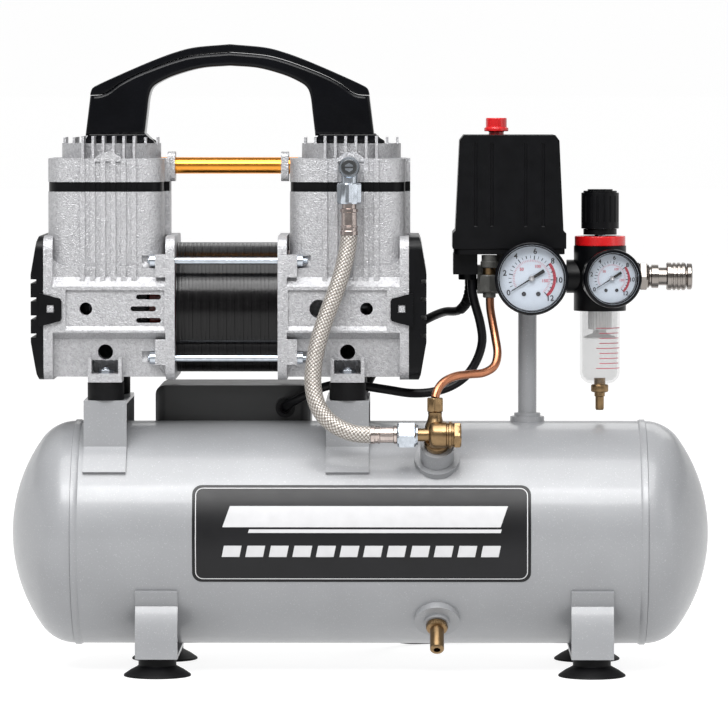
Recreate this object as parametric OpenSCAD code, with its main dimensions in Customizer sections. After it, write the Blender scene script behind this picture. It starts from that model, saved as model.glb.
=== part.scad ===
// Twin-cylinder oil-free airbrush compressor on a horizontal air tank. Millimetres.
// Origin on the floor under the middle of the tank, +X to the outlet coupler, +Y to the rear, +Z up.

/* [Tank] */
// Outside diameter of the air tank
tank_d = 160; // [158:1:160]
// Length of the tank over its domed ends
tank_len = 500; // [496:1:510]
// Length of the barrel between the weld rings
barrel_len = 408; // [400:1:410]
// Wall thickness of the tank
tank_wall = 2.5; // [2:0.5:3]
// Height of the tank's axis above the floor
tank_z = 98; // [98:0.5:99]
// Thickness of the sheet-steel cradles and brackets
sheet = 2.5; // [2:0.25:3]

/* [Pump] */
// Middle of the pump along the tank
pump_x = -94.5; // [-96:0.5:-93]
// Height of the pump's shaft above the floor
shaft_z = 260; // [260:0.5:261]
// Outside diameter of the laminated stator
stator_d = 93; // [88:1:94]
// Diameter of the motor shaft
shaft_d = 12; // [10:1:13]
// Cylinder bore
bore_d = 63.7; // [60:0.1:64]
// Throw of each eccentric, half the stroke
throw = 8; // [6:0.5:8]

/* [Air fittings] */
// Height of the air line: manifold, gauges, regulator ports and coupler
air_z = 282; // [281:0.5:283]
// Post pipe along the tank
post_x = 120; // [119:0.5:121]
// Filter-regulator along the tank
regulator_x = 172; // [171:0.5:173]
// Case diameter of the tank gauge
gauge_large_d = 52; // [48:1:54]
// Case diameter of the outlet gauge
gauge_small_d = 41.6; // [38:0.2:43]
// Radius of the plug nipple that the outlet coupler takes
plug_r = 4.6; // [4:0.1:5]

/* [Hoses and cables] */
// Outside diameter of the braided hose
hose_d = 12.2; // [11:0.1:12.5]
// Outside diameter of the cables
cable_d = 6.4; // [6:0.1:6.6]
// Outside diameter of the unloader tube
tube_d = 6; // [5:0.5:6]

/* [Hidden] */
$fn = 48;
fit = 0.05;
tank_r = tank_d / 2;
barrel_end = barrel_len / 2;
head_depth = (tank_len - barrel_len) / 2;
knuckle_r = 30;
crown_r = (pow(head_depth, 2) + pow(tank_r - knuckle_r, 2) - pow(knuckle_r, 2))
          / (2 * (head_depth - knuckle_r));
tangent_a = atan2(crown_r - head_depth, tank_r - knuckle_r);

// Tank fittings: place along the tank and lean from straight up towards the front
valve_x = 55;
valve_lean = 46;
valve_reach = 108;
drain_lean = 135;
drain_reach = 86;
drain_d = 8;

// Feet and brackets
cradle_w = 30;
cradle_xs = [-143.5, 165];
foot_y = 55;
foot_h = 13.5;
bracket_w = 30.5;
bracket_top = 195.5;
isolator_h = 13;
isolator_y = 40;
stud_r = 3;

// Pump, measured outwards from its middle
stator_half = 36;
flange_in = 36.5;
housing_end = 129.5;
column_u = 86;
wall_in = 57.5;
wall_out = 68.5;
flange_half = 52;
flange_low = shaft_z - 50;
flange_high = shaft_z + flange_half;
chamber_r = 44;
bearing_r = 16;
crank_pin_r = 15;
rod_w = 13;
sleeve_r = bore_d / 2 + 2.5;
column_top = 343.4;
plate_top = 350.3;
head_top = 366.9;
fin_top = 382.8;
crown_z = 335;
tie_y = 46;
tie_dz = 34;
crossover_z = 361.5;
handle_x = -93;
handle_feet = [-172.5, -8];
foot_down = 5.3;
lug_out = 50.3;

// Delivery side
elbow_x = -7.2;
elbow_y = -58;
elbow_z = 361;
gland_x = 80;
switch_low = 302.6;
switch_top = 383.6;
unloader_x = 92.7;
unloader_y = -24;
gauge_back = -31.5;
gauge_face = -50;
gauge_turn = 9;
coupler_end = 238;

// Capacitor box
box_x0 = -148;
box_x1 = -36;
box_front = 8;
box_back = 86;
box_top = 203;
grommet_x = -54;
grommet_z = 187;

// Routes of hose, motor lead, unloader tube and mains cord
hose_route = [
  [-7.2, -58, 313], [-8.2, -58.6, 304], [-10.6, -60, 293], [-14, -61.5, 281], [-19, -63, 267],
  [-24.5, -64.5, 252.5], [-29, -66, 237.5], [-32, -67.5, 222], [-32.6, -69.5, 208],
  [-30.2, -72.5, 196], [-24.5, -75, 186], [-15.5, -76.8, 178.8], [-4.5, -77.6, 174.3],
  [8, -77.7, 173]
];
lead_route = [
  [80, -9, 280], [80.4, -9, 271], [82.6, -9, 261.5], [86, -8.5, 249], [87.5, -8, 236],
  [84, -8, 223], [76.5, -9, 211.5], [65, -11, 203.5], [51, -14, 199.5], [36, -17, 199],
  [20, -19.5, 201.5], [4, -21, 204], [-8, -21.5, 205.3], [-20, -20, 204.8], [-30.5, -17, 201.6],
  [-39.4, -12.8, 196.9], [-45, -9.3, 193.9], [-49.6, -4.6, 191.2], [-52.7, 1.3, 188.8],
  [-54, 8, 187]
];
tube_route = [
  [92.7, -24, 270], [93, -24.6, 260], [94.6, -26.5, 250], [96.6, -30, 239], [98, -35, 228],
  [95.5, -41, 219.5], [88, -47, 215.2], [78, -53, 214.4], [68, -60, 213.4], [60, -66.5, 210],
  [55.2, -71.6, 204.5], [53.5, -73.6, 199]
];
cord_route = [
  [80, 9, 280], [79.8, 9.4, 275.3], [78.7, 11.3, 268.9], [76.4, 15.2, 262.7],
  [72.4, 22.1, 257.4], [67.8, 30.2, 255.5], [63, 38.4, 255.2], [58, 47.1, 253.6],
  [51.5, 55, 250.5], [43, 61, 245.6], [33.5, 65, 238.5], [23.5, 66.8, 229], [14, 67.4, 217],
  [6, 67.8, 203.5], [-0.5, 69, 189], [-5.5, 72, 172.5], [-9, 77, 155], [-10.3, 82.5, 137],
  [-10.5, 87, 117.5], [-10, 90, 97.5], [-9, 92, 78.5], [-7, 96, 60], [-3, 102, 43.5],
  [3, 111, 28.5], [11, 122.5, 16.5], [21, 135.5, 8.2], [33, 148, 4.2], [46, 157, 3.2],
  [58, 162, 3.2], [69.5, 164.8, 3.2], [80.5, 166.4, 3.2]
];
coil_x = 72;
coil_y = 210;
coil_mid_r = 38;
coil_turns_wide = 3;
coil_turns_high = 2;
coil_in = coil_mid_r - coil_turns_wide * cable_d / 2;
coil_out = coil_mid_r + coil_turns_wide * cable_d / 2;
coil_high = coil_turns_high * cable_d;
tail_route = [
  [107.5, 236.7, 9.6], [98.4, 247.7, 9.6], [84.6, 256.6, 9.6], [67.8, 260, 9.6],
  [52, 257.2, 9.6], [38, 248.2, 9.7], [24, 232, 10.4]
];
plug_at = [24, 232, 10.4];
plug_turn = 231;

// ---------- shared shapes ----------

function arc(cx, cy, r, from, to, n = 8) =
  [for (i = [0:n]) let (a = from + (to - from) * i / n) [cx + r * cos(a), cy + r * sin(a)]];
function reversed(list) = [for (i = [len(list) - 1:-1:0]) list[i]];
function rounded(x0, x1, y0, y1, r) = concat(
  arc(x1 - r, y1 - r, r, 0, 90, 5), arc(x0 + r, y1 - r, r, 90, 180, 5),
  arc(x0 + r, y0 + r, r, 180, 270, 5), arc(x1 - r, y0 + r, r, 270, 360, 5));
function unit(v) = v / norm(v);

// Round rods along each axis, from a low to a high end
module rod_x(x0, x1, d, y = 0, z = 0) {
  translate([x0, y, z]) rotate([0, 90, 0]) cylinder(h = x1 - x0, d = d);
}
module rod_y(y0, y1, d, x = 0, z = 0) {
  translate([x, y0, z]) rotate([-90, 0, 0]) cylinder(h = y1 - y0, d = d);
}
module rod_z(z0, z1, d, x = 0, y = 0) {
  translate([x, y, z0]) cylinder(h = z1 - z0, d = d);
}
module block(x0, x1, y0, y1, z0, z1) {
  translate([x0, y0, z0]) cube([x1 - x0, y1 - y0, z1 - z0]);
}

// Outlines extruded along an axis: (Y, Z) along X, (X, Z) along Y, (X, Y) along Z
module slab_x(x0, x1) {
  translate([x0, 0, 0]) rotate([90, 0, 90]) linear_extrude(x1 - x0) children();
}
module slab_y(y0, y1) {
  translate([0, y1, 0]) rotate([90, 0, 0]) linear_extrude(y1 - y0) children();
}
module slab_z(z0, z1) {
  translate([0, 0, z0]) linear_extrude(z1 - z0) children();
}

// Both mirror halves about the XZ plane, or both ends of the pump
module both_y() {
  children();
  mirror([0, 1, 0]) children();
}
module pump_side(side) {
  translate([pump_x, 0, 0]) mirror([side < 0 ? 1 : 0, 0, 0]) children();
}
module both_sides() {
  for (side = [-1, 1]) pump_side(side) children();
}

// Local +Z leans from straight up towards the front, about the tank's axis
module on_tank(x, lean) {
  translate([x, 0, tank_z]) rotate([lean, 0, 0]) children();
}
module tank_outline() {
  rod_x(-barrel_end - 1, barrel_end + 1, tank_d, 0, tank_z);
}

// A tube swept along hand-set points
module swept(route, d, sides = 10) {
  last = len(route) - 1;
  heading = [for (i = [0:last])
    unit(route[min(i + 1, last)] - route[max(i - 1, 0)])];
  rings = [for (i = [0:last])
    let (side_way = unit(cross(heading[i], [0.31, 0.95, 0.05])), up = cross(side_way, heading[i]))
    for (k = [0:sides - 1])
      route[i] + d / 2 * (cos(360 * k / sides) * side_way + sin(360 * k / sides) * up)];
  walls = [for (i = [0:last - 1], k = [0:sides - 1])
    let (a = i * sides + k, b = i * sides + (k + 1) % sides)
    [a, b, b + sides, a + sides]];
  caps = [[for (k = [sides - 1:-1:0]) k], [for (k = [0:sides - 1]) last * sides + k]];
  polyhedron(rings, concat([for (w = walls) [w[0], w[1], w[2]]],
                           [for (w = walls) [w[0], w[2], w[3]]], caps), convexity = 10);
}

// ---------- tank ----------

module ports(r_low, r_high) {
  on_tank(valve_x, valve_lean) rod_z(r_low, r_high, 9);
  on_tank(valve_x, drain_lean) rod_z(r_low, r_high, 8);
  on_tank(post_x, 0) rod_z(r_low, r_high, 8);
}
module weld_ring() {
  translate([barrel_end, 0, tank_z]) rotate([0, 90, 0]) rotate_extrude()
    polygon([[tank_r - 1, -5], [tank_r, -5], [tank_r + 1, -3.4], [tank_r + 1, 0], [tank_r - 1, 0]]);
}
module tank_shell() {
  color([0.68, 0.69, 0.71]) difference() {
    union() {
      rod_x(-barrel_end, barrel_end, tank_d, 0, tank_z);
      for (m = [0, 1]) mirror([m, 0, 0]) weld_ring();
    }
    rod_x(-barrel_end - 1, barrel_end + 1, tank_d - 2 * tank_wall, 0, tank_z);
    ports(tank_r - 10, tank_r + 10);
  }
  color([0.68, 0.69, 0.71]) tank_bosses();
}
module tank_heads() {
  function dome(inset) = concat(
    arc(tank_r - knuckle_r, 0, knuckle_r - inset, 0, tangent_a, 8),
    arc(0, head_depth - crown_r, crown_r - inset, tangent_a, 90, 10));
  color([0.68, 0.69, 0.71])
    for (m = [0, 1]) mirror([m, 0, 0])
      translate([barrel_end, 0, tank_z]) rotate([0, 90, 0])
        rotate_extrude() polygon(concat(dome(0), reversed(dome(tank_wall))));
}
module boss(pad_d, neck_d, top, hole_d) {
  difference() {
    union() {
      rod_z(tank_r - 8, tank_r + 3.5, pad_d);
      rod_z(tank_r - 8, top, neck_d);
    }
    rod_x(-40, 40, tank_d - 2);
    rod_z(0, top + 1, hole_d);
  }
}
module tank_bosses() {
  on_tank(valve_x, valve_lean) boss(32, 24, 97, 13);
  on_tank(valve_x, drain_lean) boss(32, 18, drain_reach, drain_d);
  on_tank(post_x, 0) boss(24.5, 19, 86, 13.3);
}

// ---------- feet and brackets ----------

module foot_cradles() {
  face_y = 74;
  knee_z = 37;
  half = concat(
    [[0, foot_h], [face_y, foot_h], [face_y, knee_z]],
    arc(0, tank_z, tank_r + sheet, -35, -26.5),
    reversed(arc(0, tank_z, tank_r, -37.2, -26.5)),
    [[face_y - sheet, knee_z - 0.6], [face_y - sheet, foot_h + sheet], [0, foot_h + sheet]]);
  color([0.68, 0.69, 0.71]) for (x = cradle_xs) difference() {
    both_y() slab_x(x - cradle_w / 2, x + cradle_w / 2) polygon(half);
    tank_outline();
    for (y = [-foot_y, foot_y]) rod_z(0, 30, 2 * stud_r + 0.4, x, y);
  }
}
module suction_feet() {
  color([0.08, 0.08, 0.09]) for (x = cradle_xs, y = [-foot_y, foot_y]) translate([x, y, 0])
    difference() {
      rotate_extrude() polygon([
        [0, 3.4], [14, 3], [20, 0], [24, 0], [24, 1.2], [19, 4.6], [13.5, 7.5],
        [13.5, foot_h], [0, foot_h]]);
      rod_z(5.5, foot_h + 1, 2 * stud_r);
    }
}
module pump_brackets() {
  leg_y = 51;
  half = concat(
    [[0, bracket_top - sheet], [leg_y - sheet, bracket_top - sheet]],
    arc(0, tank_z, tank_r, 52.7, 35.5),
    reversed(arc(0, tank_z, tank_r + sheet, 51.8, 35.5)),
    [[leg_y, bracket_top], [0, bracket_top]]);
  color([0.68, 0.69, 0.71]) both_sides() difference() {
    both_y() slab_x(column_u - bracket_w / 2, column_u + bracket_w / 2) polygon(half);
    translate([-pump_x, 0, 0]) tank_outline();
    for (y = [-isolator_y, isolator_y]) rod_z(180, 200, 2 * stud_r + 0.4, column_u, y);
  }
}
module isolators() {
  color([0.1, 0.1, 0.11]) both_sides() for (y = [-isolator_y, isolator_y]) difference() {
    rod_z(bracket_top, bracket_top + isolator_h, 26, column_u, y);
    rod_z(bracket_top - 1, bracket_top + isolator_h + 1, 2 * stud_r, column_u, y);
  }
}
module hex_z(z0, z1, flats, x = 0, y = 0) {
  translate([x, y, z0]) cylinder(h = z1 - z0, d = flats / cos(30), $fn = 6);
}
module hex_x(x0, x1, flats, y = 0, z = 0) {
  translate([x0, y, z]) rotate([0, 90, 0]) cylinder(h = x1 - x0, d = flats / cos(30), $fn = 6);
}
// Foot screws, isolator studs with their nuts, and the screws of the heads
module fasteners() {
  foot_top = bracket_top + isolator_h + 6;
  color([0.78, 0.79, 0.8]) {
    for (x = cradle_xs, y = [-foot_y, foot_y]) {
      rod_z(5.5, foot_h + sheet + 2, 2 * stud_r, x, y);
      hex_z(foot_h + sheet, foot_h + sheet + 4.5, 10, x, y);
    }
    both_sides() for (y = [-isolator_y, isolator_y]) {
      rod_z(bracket_top - sheet - 5, foot_top + 4, 2 * stud_r, column_u, y);
      hex_z(bracket_top - sheet - 4.5, bracket_top - sheet, 10, column_u, y);
      hex_z(foot_top, foot_top + 2.5, 10, column_u, y);
    }
    both_sides() for (du = [-33, 33], y = [-35, 35]) {
      rod_z(column_top - 14, head_top - 5.5, 5, column_u + du, y);
      rod_z(head_top - 5.5, head_top - 0.6, 8.5, column_u + du, y);
    }
  }
}

// ---------- pump castings ----------

module column_outline(inset = 0) {
  polygon(rounded(column_u - 41.2 + inset, column_u + 41.2 - inset, -44 + inset, 44 - inset, 13));
}
// Ribs and fins share one pitch, and sit a little towards +X on both cylinders
function rib_u(side, i) = column_u + side * 2.2 + 7.3 * i;
module column_ribs(side, z0, z1, y_out) {
  for (i = [-2.5:2.5]) both_y()
    block(rib_u(side, i) - 1.7, rib_u(side, i) + 1.7, -y_out, -40, z0, z1);
}
// Low boss down the +X face of a cylinder
module side_boss(side, z0, z1) {
  middle = column_u + side * 42.2;
  block(middle - 2.2, middle + 2.2, -14, 14, z0, z1);
}
module flange(u0, u1) {
  slab_x(u0, u1) polygon(rounded(-flange_half, flange_half, flange_low, flange_high, 10));
}
module rods_at_ties(u0, u1, d) {
  for (y = [-tie_y, tie_y], z = [shaft_z - tie_dz, shaft_z + tie_dz]) rod_x(u0, u1, d, y, z);
}
// One casting: crankcase, cylinder column, tie-rod lugs and feet
module crankcase(side) {
  ledge_z = 290.7;
  section = [
    [-42, 212], [42, 212], [45, 239], [52, 243.8], [52, 276.5], [46.5, 283], [46.5, ledge_z],
    [-46.5, ledge_z], [-46.5, 283], [-52, 276.5], [-52, 243.8], [-45, 239]];
  panel = [[-60, 274], [-50, 274], [-50, 248.3], [-52.1, 245.2], [-60, 245.2]];
  pump_side(side) difference() {
    union() {
      slab_x(flange_in + 5, housing_end - 5) polygon(section);
      flange(flange_in, flange_in + 6.5);
      flange(housing_end - 6.5, housing_end);
      slab_z(ledge_z - 2, column_top) column_outline();
      both_y() slab_y(-46.5, -36) polygon(concat(
        [[113, ledge_z - 1], [126.5, ledge_z - 1], [126.5, 309], [126, 309]],
        arc(113, ledge_z + 13, 13, 0, -90, 6)));
      column_ribs(side, 277, ledge_z, 49);
      column_ribs(side, ledge_z, column_top, 45.6);
      side_boss(side, flange_high + 0.3, column_top);
      for (z = [[221, 239], [283, 299]]) both_y()
        block(flange_in + 3, lug_out, -flange_half, -36, z[0], z[1]);
      for (y = [-isolator_y, isolator_y]) {
        block(column_u - 12, column_u + 12, y - 13, y + 13, 208.5, 214.5);
        for (u = [column_u - 12, column_u + 9.5]) block(u, u + 2.5, y - 13, y + 13, 210, 226);
      }
      both_y() block(122.3, 126.7, -53.6, -50, 258.3, 263.2);
    }
    rod_x(0, wall_in, 2 * chamber_r, 0, shaft_z);
    rod_x(0, 200, 2 * bearing_r, 0, shaft_z);
    rod_x(wall_out, 200, 2 * chamber_r, 0, shaft_z);
    rod_z(shaft_z + 36, column_top + 1, 2 * sleeve_r, column_u, 0);
    both_y() slab_x(43.8, 113.8) polygon(panel);
    rods_at_ties(0, 60, 4.6);
    rods_at_ties(lug_out, 60, 9.4);
    for (y = [-isolator_y, isolator_y]) {
      rod_z(200, 216, 2 * stud_r + 0.4, column_u, y);
      block(column_u - 9.5, column_u + 9.5, sign(y) * isolator_y - 14, sign(y) * isolator_y + 14,
            214.5, 223.9);
    }
    for (du = [-33, 33], y = [-35, 35]) rod_z(column_top - 14, column_top + 1, 5, column_u + du, y);
    rod_y(-60, -30, 9, 99.5, 260.6);
    rod_y(-60, -26, 10.8, column_u, 229.7);
    if (side < 0) {
      for (s = [[48, 62, 269], [51.5, 66, 260.6], [48, 62, 252.4]]) {
        block(s[0], s[1], -60, -22, s[2] - 1.8, s[2] + 1.8);
        for (u = [s[0], s[1]]) rod_y(-60, -22, 3.6, u, s[2]);
      }
    } else {
      rod_y(-60, -22, 13, 65.5, 260.6);
    }
  }
}
module crankcase_left() {
  color([0.8, 0.8, 0.82]) crankcase(-1);
}
module crankcase_right() {
  color([0.8, 0.8, 0.82]) crankcase(1);
}
// Vented cover over each fan, its grille bars standing out in the middle
module end_cover(side) {
  rim = housing_end + (side > 0 ? 8.5 : 5);
  face = housing_end + (side > 0 ? 12.5 : 9);
  color([0.11, 0.11, 0.12]) pump_side(side) difference() {
    union() {
      intersection() {
        flange(housing_end, face);
        slab_y(-60, 60) polygon([
          [housing_end, flange_low], [rim - 1.5, flange_low], [rim, flange_low + 4], [face, 237],
          [face, 285], [rim, flange_high - 4], [rim - 1.5, flange_high], [housing_end, flange_high]]);
      }
      both_y() slab_y(-flange_half - 2.4, -flange_half)
        polygon([[housing_end + 3, shaft_z + 12], [117.5, shaft_z + 8], [116.5, shaft_z + 6],
                 [116.5, shaft_z - 6], [117.5, shaft_z - 8], [housing_end + 3, shaft_z - 12]]);
    }
    rod_x(housing_end - 1, rim - 2, 2 * chamber_r, 0, shaft_z);
    for (i = [-2.5:2.5]) let (z = shaft_z + 0.9 + 12.8 * i, half = sqrt(pow(41, 2) - pow(12.8 * i, 2))) {
      block(rim - 3, face + 1, -half, half, z - 1.4, z + 1.4);
      if (abs(i) < 2) block(rim, face + 1, -60, 60, z - 1.4, z + 1.4);
    }
    both_y() block(121.8, 127.2, -60, -50, 257.8, 263.7);
  }
}
module end_cover_left() {
  end_cover(-1);
}
module end_cover_right() {
  end_cover(1);
}
module tie_rods() {
  color([0.8, 0.81, 0.82]) translate([pump_x, 0, 0]) {
    rods_at_ties(-56, 58, 4.3);
    for (y = [-tie_y, tie_y], z = [shaft_z - tie_dz, shaft_z + tie_dz], u = [-54, 50.5])
      hex_x(u, u + 3.5, 7, y, z);
  }
}

// ---------- motor and moving parts ----------

module stator() {
  color([0.09, 0.09, 0.1]) translate([pump_x, 0, 0]) difference() {
    rod_x(-stator_half, stator_half, stator_d, 0, shaft_z);
    rod_x(-stator_half - 1, stator_half + 1, 56, 0, shaft_z);
  }
}
module windings() {
  color([0.45, 0.16, 0.1]) both_sides() difference() {
    rod_x(stator_half, 55, 82, 0, shaft_z);
    rod_x(stator_half - 1, 56, 60, 0, shaft_z);
  }
}
module rotor() {
  color([0.6, 0.61, 0.63]) translate([pump_x, 0, 0]) {
    rod_x(-121, 121, shaft_d, 0, shaft_z);
    difference() {
      rod_x(-stator_half, stator_half, 54.6, 0, shaft_z);
      rod_x(-50, 50, shaft_d, 0, shaft_z);
    }
  }
}
module shaft_bearings() {
  color([0.75, 0.76, 0.78]) both_sides() difference() {
    rod_x(wall_in + 0.5, wall_out - 0.5, 2 * bearing_r, 0, shaft_z);
    rod_x(50, 80, shaft_d + 2 * fit, 0, shaft_z);
    for (u = [wall_in, wall_out - 1.5]) difference() {
      rod_x(u, u + 1.5, 26, 0, shaft_z);
      rod_x(u - 1, u + 3, 18, 0, shaft_z);
    }
  }
}
// Crank pin discs with their counterweights, one throw forwards and one back
module eccentrics() {
  color([0.7, 0.7, 0.72]) for (side = [-1, 1]) pump_side(side) difference() {
    union() {
      rod_x(78, 93, 2 * crank_pin_r, -side * throw, shaft_z);
      rod_x(70, 78, 26, 0, shaft_z);
      intersection() {
        rod_x(70, 78, 68, 0, shaft_z);
        block(60, 90, side > 0 ? 0 : -40, side > 0 ? 40 : 0, 200, 320);
      }
    }
    rod_x(60, 100, shaft_d, 0, shaft_z);
  }
}
module cooling_fans() {
  color([0.12, 0.12, 0.13]) both_sides() difference() {
    union() {
      rod_x(100, 118, 24, 0, shaft_z);
      rod_x(100, 102, 60, 0, shaft_z);
      for (i = [0:8]) translate([0, 0, shaft_z]) rotate([i * 40, 0, 0])
        block(100, 117, 9, 38, -1, 1);
    }
    rod_x(90, 130, shaft_d, 0, shaft_z);
  }
}
// Upright rod on its crank pin, with its wrist pin short of the piston skirt
module con_rod(side) {
  big_y = -side * throw;
  small_z = crown_z - 8 - 2 * throw - 12;
  u0 = column_u - rod_w / 2;
  u1 = column_u + rod_w / 2;
  color([0.72, 0.73, 0.75]) pump_side(side) difference() {
    union() {
      rod_x(u0, u1, 46, big_y, shaft_z);
      block(u0 + 2, u1 - 2, big_y - 8, big_y + 8, shaft_z + 18, small_z);
      rod_x(u0, u1, 22, big_y, small_z);
      rod_x(u0 - 1, u1 + 1, 10, big_y, small_z);
    }
    rod_x(60, 110, 2 * crank_pin_r + 2 * fit, big_y, shaft_z);
  }
}
module con_rod_left() {
  con_rod(-1);
}
module con_rod_right() {
  con_rod(1);
}
module piston(side) {
  color([0.76, 0.77, 0.79]) pump_side(side) difference() {
    rod_z(crown_z - 22, crown_z, bore_d - 0.12, column_u, 0);
    rod_z(crown_z - 23, crown_z - 8, bore_d - 7, column_u, 0);
  }
}
module piston_left() {
  piston(-1);
}
module piston_right() {
  piston(1);
}
module cylinder_sleeves() {
  color([0.74, 0.75, 0.77]) both_sides() difference() {
    rod_z(crown_z - 33, column_top, 2 * sleeve_r, column_u, 0);
    rod_z(crown_z - 40, column_top + 1, bore_d, column_u, 0);
  }
}

// ---------- heads and handle ----------

module head_screw_holes() {
  for (du = [-33, 33], y = [-35, 35]) rod_z(330, 400, 5, column_u + du, y);
}
module valve_plates() {
  color([0.1, 0.1, 0.11]) for (side = [-1, 1]) pump_side(side) difference() {
    union() {
      slab_z(column_top, plate_top) column_outline(0.5);
      column_ribs(side, column_top, plate_top, 45);
      side_boss(side, column_top, plate_top);
    }
    head_screw_holes();
    for (y = [-14, 14]) rod_z(column_top - 1, plate_top + 1, 8, column_u, y);
  }
}
module cylinder_head(side) {
  disc_r = 35.5;
  disc_top = fin_top - foot_down;
  foot_u = side * (handle_feet[side > 0 ? 1 : 0] - pump_x);
  color([0.8, 0.8, 0.82]) pump_side(side) difference() {
    union() {
      slab_z(plate_top, head_top) column_outline();
      column_ribs(side, plate_top, head_top, 45.6);
      side_boss(side, plate_top, head_top);
      rod_z(head_top - 1, disc_top, 2 * disc_r, rib_u(side, 0), 0);
      for (i = [-4.5:4.5])
        let (long = abs(i) < 3, half = long ? 42 : sqrt(pow(disc_r, 2) - pow(7.3 * i, 2)))
        block(rib_u(side, i) - 0.9, rib_u(side, i) + 0.9, -half, half,
              long ? head_top - 1 : disc_top - 1, long ? fin_top : fin_top - 1);
      both_y() slab_y(-45.6, -36) polygon([
        [rib_u(side, 0) - 9.4, head_top - 2], [rib_u(side, 0) - 9.4, head_top + 0.4],
        [rib_u(side, 0) - 3.4, head_top + 4.8], [rib_u(side, 0) + 3.4, head_top + 4.8],
        [rib_u(side, 0) + 9.4, head_top + 0.4], [rib_u(side, 0) + 9.4, head_top - 2]]);
      slab_x(38, 43.3) polygon(rounded(-12, 12, plate_top, head_top + 4.5, 4));
    }
    block(foot_u - 27, foot_u + 27, -16.5, 16.5, disc_top, fin_top + 1);
    for (y = [-16, 16]) rod_z(plate_top - 1, plate_top + 8, 26, column_u, y);
    head_screw_holes();
    for (du = [-33, 33], y = [-35, 35]) rod_z(head_top - 5.5, head_top + 20, 10, column_u + du, y);
    rod_x(30, 52, 12, 0, crossover_z);
    if (side > 0) rod_y(-60, -36, 9, elbow_x - pump_x, elbow_z);
  }
}
module cylinder_head_left() {
  cylinder_head(-1);
}
module cylinder_head_right() {
  cylinder_head(1);
}
module crossover_pipe() {
  color([0.86, 0.55, 0.2]) translate([pump_x, 0, 0]) difference() {
    rod_x(-50, 50, 12, 0, crossover_z);
    rod_x(-51, 51, 8, 0, crossover_z);
  }
}
// Half outlines of the handle from its middle outwards, as distance along X and height
grip_half = [
  [0, 448.2], [24.5, 446], [39, 442.4], [53.3, 437.2], [67.7, 431.2], [82, 424.8],
  [96.6, 418.6], [98.8, 416.6], [99.6, 413]];
seam_half = [
  [0, 442.5], [24.5, 440.3], [39, 436.8], [53.3, 431.8], [67.7, 426], [80, 419.4],
  [88, 413.8], [92.5, 411.9], [99.8, 411.6]];
inner_half = [
  [0, 432.8], [20, 431.4], [38, 426.6], [50, 421.6], [56, 418.2], [57.6, 415.5], [61, fin_top]];
function across(half) = concat(
  [for (i = [len(half) - 1:-1:1]) [handle_x - half[i][0], half[i][1]]],
  [for (p = half) [handle_x + p[0], p[1]]]);
module handle() {
  foot = 103.2;
  color([0.07, 0.07, 0.08]) slab_y(-16, 16) {
    polygon(concat([[handle_x - foot, fin_top]], across(seam_half), [[handle_x + foot, fin_top]],
                   reversed(across(inner_half))));
    for (x = handle_feet)
      polygon([[x - 25, fin_top - foot_down + 0.1], [x + 25.5, fin_top - foot_down + 0.1],
               [x + 19, fin_top + 2], [x - 21, fin_top + 2]]);
  }
}
module handle_grip() {
  color([0.12, 0.12, 0.13]) slab_y(-14.5, 14.5)
    polygon(concat(across(grip_half), reversed(across(seam_half))));
}

// ---------- delivery line ----------

// Elbow, hose nuts and ferrules, and the nuts of the unloader tube
module hose_fittings() {
  color([0.78, 0.79, 0.8]) {
    difference() {
      union() {
        rod_y(-46, -36, 9, elbow_x, elbow_z);
        rod_y(elbow_y - 7, -46, 15, elbow_x, elbow_z);
        rod_z(350, elbow_z + 4, 12, elbow_x, elbow_y);
      }
      rod_z(349, elbow_z, 6, elbow_x, elbow_y);
      rod_y(elbow_y, -30, 6, elbow_x, elbow_z);
    }
    difference() {
      union() {
        hex_z(334, 350, 17, elbow_x, elbow_y);
        rod_z(313, 334, 12.8, elbow_x, elbow_y);
      }
      rod_z(312, 351, 6, elbow_x, elbow_y);
    }
    difference() {
      union() {
        hex_x(27, 41.5, 17, valve_y(), valve_z());
        rod_x(8, 27, 12.8, valve_y(), valve_z());
      }
      rod_x(7, 42, 6, valve_y(), valve_z());
    }
    difference() {
      union() {
        hex_z(270, 280, 13, unloader_x, unloader_y);
        rod_z(280, 296, 11, unloader_x, unloader_y);
        block(unloader_x - 7, unloader_x + 7, unloader_y - 7, -12, 284, 296);
      }
      rod_z(269, 290, 4, unloader_x, unloader_y);
    }
  }
}
module braided_hose() {
  color([0.7, 0.68, 0.66]) swept(hose_route, hose_d, 12);
}
function valve_y() = -valve_reach * sin(valve_lean);
function valve_z() = tank_z + valve_reach * cos(valve_lean);
module check_valve() {
  port_x = 53.5;
  color([0.8, 0.62, 0.32]) difference() {
    union() {
      rod_x(50, 66, 19, valve_y(), valve_z());
      rod_x(41.5, 50.5, 9.4, valve_y(), valve_z());
      hex_x(66, 72, 17, valve_y(), valve_z());
      on_tank(57, valve_lean) rod_z(97, valve_reach - 3, 18.4);
      on_tank(valve_x, valve_lean) rod_z(84, 98, 13);
      rod_z(valve_z() + 4, 189, 9, port_x, -73.7);
      hex_z(189, 199, 11, port_x, -73.7);
    }
    rod_x(41, 68, 6, valve_y(), valve_z());
    on_tank(valve_x, valve_lean) rod_z(80, valve_reach - 2, 6);
    rod_z(valve_z(), 195, 4, port_x, -73.7);
  }
}
module unloader_tube() {
  color([0.78, 0.42, 0.28]) swept(tube_route, tube_d, 10);
}
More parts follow.
